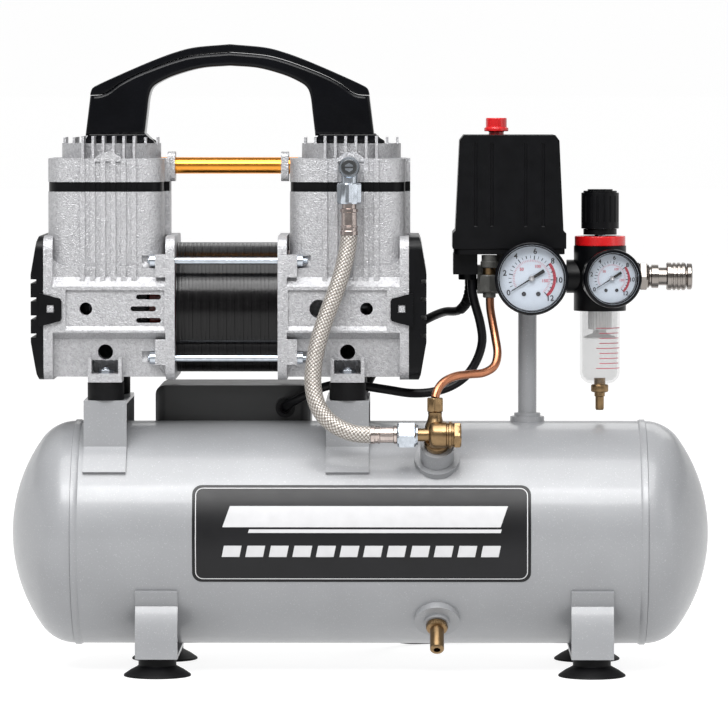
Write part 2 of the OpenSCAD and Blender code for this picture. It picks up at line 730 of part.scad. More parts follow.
// Post pipe from the tank, and the air manifold on it
module manifold() {
  color([0.68, 0.69, 0.71]) difference() {
    rod_z(tank_z + tank_r + 0.3, air_z - 12, 13.3, post_x, 0);
    rod_z(tank_z + tank_r - 1, air_z - 11, 8, post_x, 0);
  }
  color([0.3, 0.31, 0.32]) difference() {
    union() {
      block(84, 140, -12, 12, air_z - 12, air_z + 8);
      block(98, 118, -12, 12, air_z + 8, switch_low - 4);
      rod_x(140, 148, 17, 0, air_z);
      rod_y(gauge_back, -12, 13, post_x + 2, air_z);
      rod_y(12, 20, 16, post_x, air_z);
    }
    rod_x(90, 149, 8, 0, air_z);
    rod_z(air_z - 13, air_z, 8, post_x, 0);
    rod_y(gauge_back - 1, 0, 5, post_x + 2, air_z);
    rod_y(0, 14, 6, post_x, air_z);
    rod_y(14, 21, 11, post_x, air_z);
    rod_z(air_z, switch_low, 5, 108, 0);
  }
}

// ---------- pressure switch ----------

module switch_base() {
  color([0.1, 0.1, 0.11]) difference() {
    union() {
      slab_z(switch_low - 4, switch_low) polygon(rounded(67, 146, -30, 30, 6));
      slab_z(switch_low - 1, switch_low + 3) polygon(rounded(70, 143, -27, 27, 4));
      rod_z(switch_low + 2, switch_low + 30, 34, 112, 0);
      block(73, 98, -24, 24, switch_low + 2, switch_low + 22);
    }
    rod_z(switch_low - 5, switch_low + 20, 5, 108, 0);
  }
}
module switch_cover() {
  wall = 2.5;
  low = switch_low;
  function side(inset) = [
    [66 + inset, low], [147 - inset, low], [147 - inset, low + 11], [145 - inset, low + 13],
    [142 - inset, switch_top - 4], [139 - inset, switch_top - inset],
    [74 + inset, switch_top - inset], [71 + inset, switch_top - 4], [68 + inset, low + 13],
    [66 + inset, low + 11]];
  color([0.08, 0.08, 0.09]) difference() {
    slab_y(-31, 31) polygon(side(0));
    difference() {
      translate([0, 0, -0.01]) slab_y(-31 + wall, 31 - wall) polygon(side(wall));
      block(60, 150, -32, 32, switch_top - wall, switch_top + 1);
    }
    rod_z(switch_top - 5, switch_top + 1, 12, 97.5, 0);
    for (x = [82.5, 94, 118, 130.5]) block(x - 0.9, x + 0.9, -32, -30.2, low + 16, switch_top - 6);
  }
}
module switch_knob() {
  color([0.85, 0.1, 0.09]) {
    rod_z(switch_low + 33, switch_top + 2.4, 10.8, 97.5, 0);
    rod_z(switch_top + 2.4, switch_top + 5, 17.5, 97.5, 0);
    rod_z(switch_top + 5, switch_top + 12, 15, 97.5, 0);
  }
}
module cable_glands() {
  color([0.09, 0.09, 0.1]) {
    difference() {
      union() {
        block(66.6, 83.9, -20, 20, 284, switch_low - 4);
        for (y = [-9, 9]) rod_z(280, 284, 13, gland_x - 3, y);
      }
      for (y = [-9, 9]) rod_z(280, switch_low, cable_d, gland_x, y);
    }
    difference() {
      union() {
        rod_y(box_front - 3, box_front, 14, grommet_x, grommet_z);
        rod_y(box_front, box_front + 3, 10, grommet_x, grommet_z);
      }
      rod_y(box_front, box_front + 4, cable_d, grommet_x, grommet_z);
      rod_y(box_front - 4, box_front + 1, 9, grommet_x, grommet_z);
    }
  }
}

// ---------- gauges ----------

// Case with a dial plate inside; local origin on the dial's middle axis
module gauge_case(d, dial_d) {
  difference() {
    rod_y(gauge_face, gauge_back, d);
    rod_y(gauge_face - 1, gauge_face + 7, dial_d);
    rod_y(gauge_face, gauge_back - 3, dial_d - 4);
    rod_y(gauge_back - 4, gauge_back + 1, 5);
  }
  difference() {
    rod_y(gauge_face + 7, gauge_face + 8, dial_d);
    rod_y(gauge_face + 6, gauge_face + 9, 3);
  }
}
module needle(r) {
  rotate([0, -122, 0]) {
    rod_y(gauge_face + 4, gauge_face + 6, 5.5);
    rod_y(gauge_face + 5, gauge_face + 11, 2.8);
    slab_y(gauge_face + 4.6, gauge_face + 5.4)
      polygon([[-1.2, -r * 0.3], [1.2, -r * 0.3], [0.35, r], [-0.35, r]]);
  }
}
module at_large() {
  translate([post_x + 2, 0, air_z]) children();
}
module at_small() {
  translate([regulator_x, 0, air_z]) rotate([0, 0, gauge_turn]) children();
}
module gauge_large() {
  color([0.1, 0.1, 0.11]) at_large() gauge_case(gauge_large_d, gauge_large_d - 5);
}
module gauge_small() {
  color([0.1, 0.1, 0.11]) at_small() {
    gauge_case(gauge_small_d, gauge_small_d - 5.6);
    difference() {
      rod_y(gauge_back, -20, 12);
      rod_y(gauge_back - 1, -19, 4);
    }
  }
}
module needle_large() {
  color([0.05, 0.05, 0.05]) at_large() needle(16);
}
module needle_small() {
  color([0.05, 0.05, 0.05]) at_small() needle(12.5);
}
module gauge_windows() {
  color([0.85, 0.9, 0.92, 0.4]) {
    at_large() rod_y(gauge_face + 1, gauge_face + 2.5, gauge_large_d - 5);
    at_small() rod_y(gauge_face + 1, gauge_face + 2.5, gauge_small_d - 5.6);
  }
}

// ---------- filter-regulator and coupler ----------

module regulator_body() {
  color([0.09, 0.09, 0.1]) translate([regulator_x, 0, 0]) difference() {
    union() {
      rod_z(257.5, 304, 37.5);
      rod_x(-24, 24, 24, 0, air_z);
      rotate([0, 0, gauge_turn]) rod_y(-20, 0, 20, 0, air_z);
      rod_z(311, 316, 24);
      rod_z(304, 311, 30);
    }
    rod_z(257, 266, 31);
    rod_z(264, 296, 12);
    rod_z(290, 312, 24);
    rod_z(311, 317, 8 + 4 * fit);
    rod_x(-25, 25, 9, 0, air_z);
    rotate([0, 0, gauge_turn]) rod_y(-21, 0, 4, 0, air_z);
  }
  color([0.75, 0.76, 0.78]) difference() {
    union() {
      rod_x(regulator_x + 15, regulator_x + 25, 9, 0, air_z);
      hex_x(regulator_x + 24, regulator_x + 28, 17, 0, air_z);
    }
    rod_x(regulator_x + 14, regulator_x + 29, 6, 0, air_z);
  }
}
module regulator_ring() {
  color([0.85, 0.12, 0.1]) difference() {
    rod_z(304, 311, 36.4, regulator_x, 0);
    rod_z(303, 312, 30, regulator_x, 0);
  }
}
module regulator_spindle() {
  color([0.78, 0.78, 0.8]) {
    rod_z(293, 333, 8, regulator_x, 0);
    rod_z(291, 293, 20, regulator_x, 0);
  }
}
module regulator_knob() {
  color([0.08, 0.08, 0.09]) translate([regulator_x, 0, 0]) difference() {
    union() {
      rod_z(316.4, 342, 27);
      rod_z(342, 343.4, 24);
      rod_z(343.4, 344.5, 18);
    }
    rod_z(316, 337.5, 8 + 4 * fit);
    rod_z(316, 320, 24.6);
    for (i = [0:17]) rotate([0, 0, i * 20]) rod_z(321, 340, 1.4, 13.6, 0);
  }
}
module filter_bowl() {
  color([0.82, 0.86, 0.88, 0.4]) translate([regulator_x, 0, 0]) difference() {
    union() {
      rod_z(211, 257.5, 29);
      rod_z(257.5, 264, 29);
      translate([0, 0, 205]) cylinder(h = 6, d1 = 18, d2 = 29);
    }
    rod_z(211, 265, 25);
    translate([0, 0, 207]) cylinder(h = 4.01, d1 = 15, d2 = 25);
    rod_z(204, 212, 8 + 2 * fit);
  }
}
module filter_element() {
  color([0.93, 0.93, 0.92]) translate([regulator_x, 0, 0]) difference() {
    union() {
      rod_z(228, 264, 17);
      rod_z(224, 226, 23);
      rod_z(226, 228, 10);
    }
    rod_z(230, 265, 10);
  }
}
module bowl_drain() {
  color([0.72, 0.52, 0.26]) translate([regulator_x, 0, 0]) difference() {
    union() {
      rod_z(199, 204.6, 12.4);
      rod_z(204.6, 209, 8);
      rod_z(186, 199, 6);
    }
    rod_z(185, 210, 2.5);
  }
}
// Body with a blind socket for the plug nipple, its mouth towards +X
module coupler_body() {
  color([0.78, 0.78, 0.79]) difference() {
    union() {
      rod_x(200, 214, 17, 0, air_z);
      hex_x(200, 206, 19, 0, air_z);
      rod_x(214, coupler_end, 13, 0, air_z);
      rod_x(coupler_end - 4, coupler_end, 19, 0, air_z);
    }
    rod_x(coupler_end - 22, coupler_end + 1, 2 * plug_r, 0, air_z);
    rod_x(199, 213, 6, 0, air_z);
  }
}
module coupler_sleeve() {
  color([0.8, 0.8, 0.81]) difference() {
    rod_x(219.5, coupler_end - 4.3, 20, 0, air_z);
    rod_x(218, coupler_end, 13 + 2 * fit, 0, air_z);
    for (x = [223:3.2:231]) difference() {
      rod_x(x, x + 1, 22, 0, air_z);
      rod_x(x - 1, x + 2, 19, 0, air_z);
    }
  }
}
module safety_valve() {
  color([0.8, 0.62, 0.32]) translate([post_x, 0, air_z]) difference() {
    union() {
      rod_y(14, 36, 11);
      translate([0, 20, 0]) rotate([90, 0, 0]) mirror([0, 0, 1]) hex_z(0, 8, 14);
      rod_y(28, 40, 12);
    }
    rod_y(13, 30, 4);
    rod_y(29, 41, 3 + 4 * fit);
  }
}
// Pin of the safety valve with its pull ring
module safety_pull() {
  color([0.8, 0.8, 0.82]) translate([post_x, 0, air_z]) {
    rod_y(31, 44, 3);
    difference() {
      rod_x(-1, 1, 20, 53, 0);
      rod_x(-2, 2, 15, 53, 0);
    }
  }
}
module tank_drain() {
  color([0.78, 0.6, 0.3]) on_tank(valve_x, drain_lean) difference() {
    union() {
      rod_z(tank_r - 4, drain_reach + 1, drain_d - 2 * fit);
      rod_z(drain_reach + 0.1, drain_reach + 5, 13.5);
      rod_z(drain_reach + 5, 109, 9);
    }
    rod_z(70, 110, 4);
  }
}

// ---------- capacitor box and cables ----------

// Box on the rear of the tank with the run capacitor inside
module capacitor_box() {
  wall = 2.5;
  color([0.4, 0.41, 0.42]) difference() {
    intersection() {
      slab_z(130, box_top) polygon(rounded(box_x0, box_x1, box_front, box_back, 8));
      slab_y(0, 100) polygon(rounded(box_x0, box_x1, 100, box_top, 7));
    }
    slab_z(120, box_top - wall)
      polygon(rounded(box_x0 + wall, box_x1 - wall, box_front + wall, box_back - wall, 6));
    tank_outline();
    rod_y(box_front - 1, box_front + wall + 1, 10, grommet_x, grommet_z);
  }
  color([0.75, 0.76, 0.78]) {
    rod_x(box_x0 + 12, box_x1 - 26, 30, 64, 184);
    block(box_x0 + 38, box_x0 + 50, 58, 70, 196, box_top - 1);
  }
}
module motor_lead() {
  color([0.06, 0.06, 0.07]) swept(lead_route, cable_d, 10);
}
module mains_cord() {
  color([0.06, 0.06, 0.07]) {
    swept(cord_route, cable_d, 10);
    swept(tail_route, cable_d, 10);
  }
}
module mains_coil() {
  color([0.06, 0.06, 0.07]) translate([coil_x, coil_y, 0]) difference() {
    rod_z(0, coil_high, 2 * coil_out);
    rod_z(-1, coil_high + 1, 2 * coil_in);
  }
}
// Moulded two-pin plug lying beside the coil, its strain relief on the cord's end
module mains_plug() {
  color([0.06, 0.06, 0.07]) translate(plug_at) rotate([0, 0, plug_turn]) difference() {
    union() {
      rotate([0, 90, 0]) cylinder(h = 22, d1 = 8.5, d2 = 12);
      slab_x(20, 50) polygon(rounded(-13, 13, -plug_at[2], 8, 5));
    }
    rod_x(-1, 16, cable_d);
  }
  color([0.8, 0.8, 0.82]) translate(plug_at) rotate([0, 0, plug_turn])
    for (y = [-9.3, 9.3]) rod_x(50, 68, 4, y, 0);
}

tank_shell();
tank_heads();
foot_cradles();
suction_feet();
pump_brackets();
isolators();
fasteners();
tie_rods();
crankcase_left();
crankcase_right();
end_cover_left();
end_cover_right();
stator();
windings();
rotor();
shaft_bearings();
eccentrics();
cooling_fans();
con_rod_left();
con_rod_right();
piston_left();
piston_right();
cylinder_sleeves();
valve_plates();
cylinder_head_left();
cylinder_head_right();
crossover_pipe();
handle();
handle_grip();
hose_fittings();
braided_hose();
check_valve();
unloader_tube();
manifold();
switch_base();
switch_cover();
switch_knob();
cable_glands();
gauge_large();
gauge_small();
needle_large();
needle_small();
gauge_windows();
regulator_body();
regulator_ring();
regulator_spindle();
regulator_knob();
filter_bowl();
filter_element();
bowl_drain();
coupler_body();
coupler_sleeve();
safety_valve();
safety_pull();
tank_drain();
capacitor_box();
motor_lead();
mains_cord();
mains_coil();
mains_plug();
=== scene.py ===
"""Twin-cylinder airbrush compressor on a horizontal tank: visual model, in metres, in the CAD frame."""
import math

import bmesh
import bpy
from mathutils import Matrix, Vector


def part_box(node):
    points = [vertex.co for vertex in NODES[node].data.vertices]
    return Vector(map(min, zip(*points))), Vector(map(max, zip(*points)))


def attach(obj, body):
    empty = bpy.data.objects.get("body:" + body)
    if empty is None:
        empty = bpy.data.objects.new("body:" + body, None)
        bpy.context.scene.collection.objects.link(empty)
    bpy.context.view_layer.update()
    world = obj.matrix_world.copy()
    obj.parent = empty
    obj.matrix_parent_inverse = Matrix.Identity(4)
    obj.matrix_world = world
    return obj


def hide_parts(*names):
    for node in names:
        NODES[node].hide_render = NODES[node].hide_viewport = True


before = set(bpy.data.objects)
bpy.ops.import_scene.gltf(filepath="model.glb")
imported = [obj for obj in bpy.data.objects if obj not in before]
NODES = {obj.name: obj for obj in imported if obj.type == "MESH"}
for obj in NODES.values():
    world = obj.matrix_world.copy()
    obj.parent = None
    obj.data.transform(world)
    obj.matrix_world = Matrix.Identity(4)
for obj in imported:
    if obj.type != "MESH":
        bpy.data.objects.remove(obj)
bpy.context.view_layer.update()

SCENE = bpy.context.scene
Z = Vector((0, 0, 1))

# The tank's drain and check-valve bosses point out of this spot on its axis.
BOSS_AT = Vector((0.055, 0, 0.098))
VALVE_Y, VALVE_Z = -0.07769, 0.17302


# ---------- camera and light ----------

def aim(obj, target):
    """Turns a camera or lamp towards a point."""
    obj.rotation_euler = (Vector(target) - obj.location).to_track_quat("-Z", "Y").to_euler()


def make_camera():
    data = bpy.data.cameras.new("camera")
    data.lens, data.sensor_width = 255, 36
    data.clip_start, data.clip_end = 0.1, 200
    camera = bpy.data.objects.new("camera", data)
    SCENE.collection.objects.link(camera)
    camera.location = (0.040, -3.700, 0.414)
    aim(camera, (0.0027, 0, 0.2189))
    SCENE.camera = camera


def lamp(name, place, target, size, power):
    data = bpy.data.lights.new(name, "AREA")
    data.shape, data.size, data.size_y = "RECTANGLE", size[0], size[1]
    data.energy = power
    obj = bpy.data.objects.new(name, data)
    SCENE.collection.objects.link(obj)
    obj.location = place
    aim(obj, target)


def make_studio():
    middle = (0, 0, 0.2)
    lamp("top_box", (-0.2, -0.95, 2.3), middle, (2.6, 1.7), 62)
    lamp("front_box", (-0.5, -2.2, 2.2), middle, (2.4, 0.9), 70)
    lamp("side_box", (2.5, -1.3, 1.0), middle, (0.9, 1.7), 8)
    lamp("back_box", (0.6, 2.6, 1.8), middle, (2.0, 1.2), 12)
    world = bpy.data.worlds.new("studio")
    world.use_nodes = True
    tree = world.node_tree
    way = tree.nodes.new("ShaderNodeTexCoord")
    split = tree.nodes.new("ShaderNodeSeparateXYZ")
    sky = tree.nodes.new("ShaderNodeValToRGB")
    for stop, height, level in zip(sky.color_ramp.elements, (0.12, 0.8), (0.16, 0.55)):
        stop.position = height
        stop.color = (level, level, level, 1)
    tree.links.new(way.outputs["Generated"], split.inputs["Vector"])
    tree.links.new(split.outputs["Z"], sky.inputs["Fac"])
    tree.links.new(sky.outputs["Color"], tree.nodes["Background"].inputs["Color"])
    SCENE.world = world
    SCENE.view_settings.view_transform = "Standard"


# The floor's own light, from its level in front at the first Y to its level behind the second.
FLOOR_GLOW = {"From Min": -2.2, "From Max": -0.5, "To Min": 0.16, "To Max": 0.84}


def make_floor():
    """A white sweep, flat out to 7 m and then curving up all round, with a glow that fades to the front."""
    rings = [(0, 0), (0.4, 0), (1, 0), (3, 0), (7, 0)]
    rings += [(7 + 9 * math.sin(a), 9 * (1 - math.cos(a))) for a in [0.1 * i for i in range(1, 9)]]
    obj = lathe_mesh("floor", rings, Matrix.Identity(4), 96, axis_first=False)
    paint = look("floor_paint", (0.25, 0.25, 0.25), 0.8, mottle=0.01, mottle_size=0.5,
                 Emission_Color=(1, 1, 1, 1))
    tree = paint.node_tree
    kinds = ("TexCoord", "SeparateXYZ", "MapRange")
    place, split, glow = (tree.nodes.new("ShaderNode" + kind) for kind in kinds)
    for socket, value in FLOOR_GLOW.items():
        glow.inputs[socket].default_value = value
    tree.links.new(place.outputs["Object"], split.inputs["Vector"])
    tree.links.new(split.outputs["Y"], glow.inputs["Value"])
    tree.links.new(glow.outputs["Result"], tree.nodes["Principled BSDF"].inputs["Emission Strength"])
    obj.data.materials.append(paint)


# ---------- materials ----------

LOOKS = {}


def look(name, colour, rough, metal=0.0, coat=0.0, mottle=0.06, mottle_size=0.02, gloss_change=0.08,
         gloss_size=0.008, bumps=(), flecks=None, **sockets):
    """A procedural surface. bumps are (size in m, height in m); flecks are (size, colour, share)."""
    if name in LOOKS:
        return LOOKS[name]
    material = bpy.data.materials.new(name)
    material.use_nodes = True
    tree = material.node_tree
    link = tree.links.new
    shader = tree.nodes["Principled BSDF"]

    def node(kind, **values):
        made = tree.nodes.new("ShaderNode" + kind)
        for socket, value in values.items():
            made.inputs[socket.replace("_", " ")].default_value = value
        return made

    place = node("TexCoord").outputs["Object"]

    def texture(kind, size, **values):
        made = node("Tex" + kind, Scale=1 / size, **values)
        link(place, made.inputs["Vector"])
        return made

    tone = texture("Noise", mottle_size, Detail=4.0)
    ramp = tree.nodes.new("ShaderNodeValToRGB")
    for stop, share, level in zip(ramp.color_ramp.elements, (0.3, 0.7), (1 - mottle, 1 + mottle)):
        stop.position = share
        stop.color = [min(1.0, c * level) for c in colour] + [1]
    link(tone.outputs["Fac"], ramp.inputs["Fac"])
    paint = ramp.outputs["Color"]
    if flecks:
        size, tint, share = flecks
        cells = texture("Voronoi", size)
        split = tree.nodes.new("ShaderNodeValToRGB")
        split.color_ramp.elements[0].position, split.color_ramp.elements[1].position = 1 - share, 1.0
        link(cells.outputs["Color"], split.inputs["Fac"])
        mix = node("Mix")
        mix.data_type = "RGBA"
        link(split.outputs["Color"], mix.inputs[0])
        link(paint, mix.inputs[6])
        mix.inputs[7].default_value = (*tint, 1)
        paint = mix.outputs[2]
    link(paint, shader.inputs["Base Color"])

    gloss = texture("Noise", gloss_size, Detail=3.0)
    spread = node("MapRange")
    spread.inputs["To Min"].default_value = max(0.02, rough - gloss_change)
    spread.inputs["To Max"].default_value = min(1.0, rough + gloss_change)
    link(gloss.outputs["Fac"], spread.inputs["Value"])
    link(spread.outputs["Result"], shader.inputs["Roughness"])

    normal = None
    for size, height in bumps:
        relief = texture("Noise", size)
        bump = node("Bump", Distance=height, Strength=1.0)
        link(relief.outputs["Fac"], bump.inputs["Height"])
        if normal:
            link(normal, bump.inputs["Normal"])
        normal = bump.outputs["Normal"]
    if normal:
        link(normal, shader.inputs["Normal"])
    shader.inputs["Metallic"].default_value = metal
    shader.inputs["Coat Weight"].default_value = coat
    shader.inputs["Coat Roughness"].default_value = 0.12
    for socket, value in sockets.items():
        shader.inputs[socket.replace("_", " ")].default_value = value
    LOOKS[name] = material
    return material


def tank_paint():
    return look("tank_paint", (0.25, 0.255, 0.265), 0.40, metal=0.1, coat=0.35, mottle=0.05, mottle_size=0.05,
                gloss_change=0.06, bumps=[(0.004, 0.00004)],
                flecks=(0.0006, (0.34, 0.345, 0.355), 0.2))


def casting():
    return look("casting", (0.40, 0.40, 0.412), 0.42, metal=0.5, mottle=0.13, mottle_size=0.0022,
                bumps=[(0.0011, 0.0006), (0.005, 0.0004)],
                flecks=(0.001, (0.29, 0.29, 0.3), 0.35))


def black_plastic():
    return look("black_plastic", (0.002, 0.0021, 0.0027), 0.34, mottle=0.25, mottle_size=0.01,
                bumps=[(0.0006, 0.00004)], Specular_IOR_Level=0.16)


def gloss_black():
    return look("gloss_black", (0.0018, 0.002, 0.003), 0.2, mottle=0.25, mottle_size=0.03,
                gloss_change=0.07, bumps=[(0.0022, 0.00005)], Specular_IOR_Level=0.18)


def rubber():
    return look("rubber", (0.0028, 0.0028, 0.0033), 0.55, mottle=0.3, mottle_size=0.006,
                bumps=[(0.0008, 0.00006)], Specular_IOR_Level=0.15)


def cable_sheath():
    return look("cable_sheath", (0.003, 0.003, 0.0038), 0.34, mottle=0.3, mottle_size=0.01,
                bumps=[(0.0015, 0.00005)], Specular_IOR_Level=0.2)


def zinc():
    return look("zinc", (0.50, 0.54, 0.59), 0.24, metal=1.0, mottle=0.12, mottle_size=0.004,
                bumps=[(0.0012, 0.00001)])


def ferrule_steel():
    return look("ferrule_steel", (0.50, 0.43, 0.40), 0.2, metal=1.0, mottle=0.12, mottle_size=0.004,
                bumps=[(0.0009, 0.00003)])


def nickel():
    return look("nickel", (0.28, 0.255, 0.235), 0.16, metal=1.0, mottle=0.06, mottle_size=0.006,
                gloss_change=0.05, bumps=[(0.002, 0.00001)])


def steel():
    return look("steel", (0.55, 0.55, 0.57), 0.34, metal=1.0, mottle=0.1, mottle_size=0.006,
                bumps=[(0.0008, 0.00002)])


def dark_steel():
    return look("dark_steel", (0.16, 0.165, 0.17), 0.24, metal=1.0, mottle=0.15, mottle_size=0.003,
                bumps=[(0.0012, 0.00002)])


def braid_wire():
    """Bright wires with painted shade in the gaps between them, darker where the weave lies deeper."""
    material = look("braid_wire", (0.53, 0.505, 0.475), 0.3, metal=0.45, mottle=0.1, mottle_size=0.0015,
                    bumps=[(0.0005, 0.00004)])
    tree = material.node_tree
    if "depth" in tree.nodes:
        return material
    # Painted shade: the weave's depth at each point feeds the ramp below, which multiplies the wire colour
    # darker where the weave lies deep, in the gaps.
    depth = tree.nodes.new("ShaderNodeAttribute")
    depth.name, depth.attribute_name = "depth", "weave"
    shade = tree.nodes.new("ShaderNodeValToRGB")
    shade.color_ramp.elements[0].position, shade.color_ramp.elements[1].position = 0.3, 0.85
    shade.color_ramp.elements[0].color = (0.30, 0.265, 0.235, 1)
    mix = tree.nodes.new("ShaderNodeMix")
    mix.data_type, mix.blend_type = "RGBA", "MULTIPLY"
    mix.inputs[0].default_value = 1.0
    base = tree.nodes["Principled BSDF"].inputs["Base Color"]
    tree.links.new(base.links[0].from_socket, mix.inputs[6])
    tree.links.new(depth.outputs["Fac"], shade.inputs["Fac"])
    tree.links.new(shade.outputs["Color"], mix.inputs[7])
    tree.links.new(mix.outputs[2], base)
    return material


def brass():
    return look("brass", (0.25, 0.165, 0.085), 0.3, metal=1.0, mottle=0.14, mottle_size=0.004,
                bumps=[(0.001, 0.00004)])


def copper():
    return look("copper", (0.48, 0.20, 0.11), 0.3, metal=1.0, mottle=0.16, mottle_size=0.01,
                bumps=[(0.003, 0.00003)])


def anodised():
    return look("anodised", (0.82, 0.33, 0.05), 0.22, metal=1.0, mottle=0.05, mottle_size=0.02,
                gloss_change=0.05, bumps=[(0.0015, 0.00001)])


def lamination():
    return look("lamination", (0.002, 0.0018, 0.002), 0.16, mottle=0.3, mottle_size=0.004,
                bumps=[(0.001, 0.00002)], Specular_IOR_Level=0.3)


def winding():
    return look("winding", (0.17, 0.02, 0.014), 0.32, coat=0.4, mottle=0.35, mottle_size=0.003,
                bumps=[(0.0012, 0.0003)])


def box_grey():
    return look("box_grey", (0.02, 0.0205, 0.021), 0.42, mottle=0.1, mottle_size=0.02,
                bumps=[(0.0008, 0.00005)])


def manifold_grey():
    return look("manifold_grey", (0.085, 0.085, 0.08), 0.4, metal=0.6, mottle=0.15, mottle_size=0.006,
                bumps=[(0.0012, 0.00008)])


def red_plastic():
    return look("red_plastic", (0.52, 0.006, 0.008), 0.28, coat=0.25, mottle=0.1, mottle_size=0.01,
                bumps=[(0.002, 0.00003)])


def clear_plastic():
    return look("clear_plastic", (0.5, 0.5, 0.5), 0.05, mottle=0.01, gloss_change=0.02, Alpha=0.03)


def bowl_plastic():
    return look("bowl_plastic", (0.24, 0.245, 0.25), 0.08, mottle=0.01, gloss_change=0.03, Alpha=0.14)


def filter_white():
    return look("filter_white", (0.82, 0.82, 0.815), 0.6, mottle=0.06, mottle_size=0.003,
                bumps=[(0.0007, 0.0001)])


def dial_paper():
    return look("dial_paper", (0.44, 0.49, 0.56), 0.5, mottle=0.02, mottle_size=0.004,
                bumps=[(0.0006, 0.00001)])


def dial_ink():
    return look("dial_ink", (0.008, 0.008, 0.014), 0.5, mottle=0.1, mottle_size=0.002)


def dial_red():
    return look("dial_red", (0.30, 0.008, 0.028), 0.5, mottle=0.08, mottle_size=0.002)


def dial_pink():
    return look("dial_pink", (0.42, 0.09, 0.12), 0.5, mottle=0.08, mottle_size=0.002)


def label_black():
    return look("label_black", (0.004, 0.004, 0.005), 0.38, mottle=0.25, mottle_size=0.03,
                gloss_change=0.05, bumps=[(0.006, 0.00003)], Specular_IOR_Level=0.3)


def label_white():
    return look("label_white", (0.5, 0.5, 0.51), 0.4, mottle=0.04, mottle_size=0.01,
                bumps=[(0.002, 0.00001)])


# ---------- shapes ----------

def finish_piece(obj, body, material, bevel=0.0, crease=35):
    """Smooths the faces up to an angle, rounds sharper edges and gives the piece its body and look."""
    obj.data.materials.clear()
    obj.data.materials.append(material)
    obj.data.shade_smooth()
    obj.data.set_sharp_from_angle(angle=math.radians(crease))
    if bevel:
        add_bevel(obj, bevel)
    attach(obj, body)
    return obj


def add_bevel(obj, width, segments=2, angle=32):
    bevel = obj.modifiers.new("edges", "BEVEL")
    bevel.width, bevel.segments = width, segments
    bevel.limit_method, bevel.angle_limit = "ANGLE", math.radians(angle)
    bevel.harden_normals = True
    bevel.use_clamp_overlap = True


def dress(node, material, bevel=0.0004, segments=2):
    """A CAD node keeps its shape, with its edges rounded, and gets a procedural material."""
    obj = NODES[node]
    obj.data.materials.clear()
    obj.data.materials.append(material)
    if "custom_normal" in obj.data.attributes:
        obj.data.attributes.remove(obj.data.attributes["custom_normal"])
    obj.data.shade_smooth()
    weld = obj.modifiers.new("weld", "WELD")
    weld.merge_threshold = 1e-6
    flat = obj.modifiers.new("flat", "DECIMATE")
    flat.decimate_type, flat.angle_limit = "DISSOLVE", math.radians(0.3)
    add_bevel(obj, bevel, segments)
    return obj


def mesh_object(name, points, faces):
    mesh = bpy.data.meshes.new(name)
    mesh.from_pydata([tuple(p) for p in points], [], faces)
    mesh.validate()
    mesh.update()
    obj = bpy.data.objects.new(name, mesh)
    SCENE.collection.objects.link(obj)
    return obj


def lathe_mesh(name, profile, at, sides=64, axis_first=True, ripple=None):
    """Turns (along, radius) rows about local Z. A third value makes a row a hexagon that far over its flats,
    halved. ripple(angle, row) scales the radius."""
    points, faces, rows = [], [], []
    for row, entry in enumerate(profile):
        along, radius = entry[:2] if axis_first else entry[1::-1]
        if radius < 1e-7:
            rows.append([len(points)])
            points.append(at @ Vector((0, 0, along)))
            continue
        rows.append(list(range(len(points), len(points) + sides)))
        for k in range(sides):
            a = 2 * math.pi * k / sides
            r = radius * (ripple(a, row) if ripple else 1)
            if len(entry) > 2:
                r = radius / math.cos((a + math.pi / 6) % (math.pi / 3) - math.pi / 6)
            points.append(at @ Vector((r * math.cos(a), r * math.sin(a), along)))
    for low, high in zip(rows, rows[1:]):
        for k in range(sides):
            n = (k + 1) % sides
            ring = [low[k % len(low)], low[n % len(low)], high[n % len(high)], high[k % len(high)]]
            face = list(dict.fromkeys(ring))
            if len(face) > 2:
                faces.append(face)
    return mesh_object(name, points, faces)


def curve_through(points, step):
    """Points every step along a smooth curve through the given points."""
    pts = [Vector(p) for p in points]
    pts = [2 * pts[0] - pts[1]] + pts + [2 * pts[-1] - pts[-2]]
    out = []
    for a, b, c, d in zip(pts, pts[1:], pts[2:], pts[3:]):
        count = max(1, round((c - b).length / step))
        for i in range(count):
            t = i / count
            out.append(0.5 * (2 * b + (c - a) * t + (2 * a - 5 * b + 4 * c - d) * t * t
                              + (3 * b - a - 3 * c + d) * t ** 3))
    return out + [pts[-2]]


def tube(name, path, radius, sides=16, relief=None):
    """A closed tube along a path. radius may be a function of the distance along, and relief of the
    distance and the angle."""
    points, faces = [], []
    heading = (path[1] - path[0]).normalized()
    side = heading.orthogonal().normalized()
    travelled = 0
    for i, point in enumerate(path):
        ahead = path[min(i + 1, len(path) - 1)] - path[max(i - 1, 0)]
        turn = heading.rotation_difference(ahead.normalized())
        side = (turn @ side).normalized()
        heading = ahead.normalized()
        up = heading.cross(side)
        if i:
            travelled += (point - path[i - 1]).length
        r = radius(travelled) if callable(radius) else radius
        for k in range(sides):
            a = 2 * math.pi * k / sides
            rr = r + (relief(travelled, a) if relief else 0)
            points.append(point + rr * (math.cos(a) * side + math.sin(a) * up))
    for i in range(len(path) - 1):
        for k in range(sides):
            n = (k + 1) % sides
            faces.append([i * sides + k, i * sides + n, (i + 1) * sides + n, (i + 1) * sides + k])
    faces.append(list(range(sides - 1, -1, -1)))
    faces.append([(len(path) - 1) * sides + k for k in range(sides)])
    return mesh_object(name, points, faces)


def merged(name, parts):
    """One mesh object from several."""
    whole = bmesh.new()
    for part in parts:
        whole.from_mesh(part.data)
        bpy.data.objects.remove(part)
    mesh = bpy.data.meshes.new(name)
    whole.to_mesh(mesh)
    whole.free()
    obj = bpy.data.objects.new(name, mesh)
    SCENE.collection.objects.link(obj)
    return obj


def nut_rows(low, high, flats, edge=0.0008):
    """Lathe rows of a hexagon nut with chamfered ends."""
    r = flats / 2
    return [(low, 0), (low, r * 0.94), (low + edge, r, "hex"), (high - edge, r, "hex"), (high, r * 0.94),
            (high, 0)]


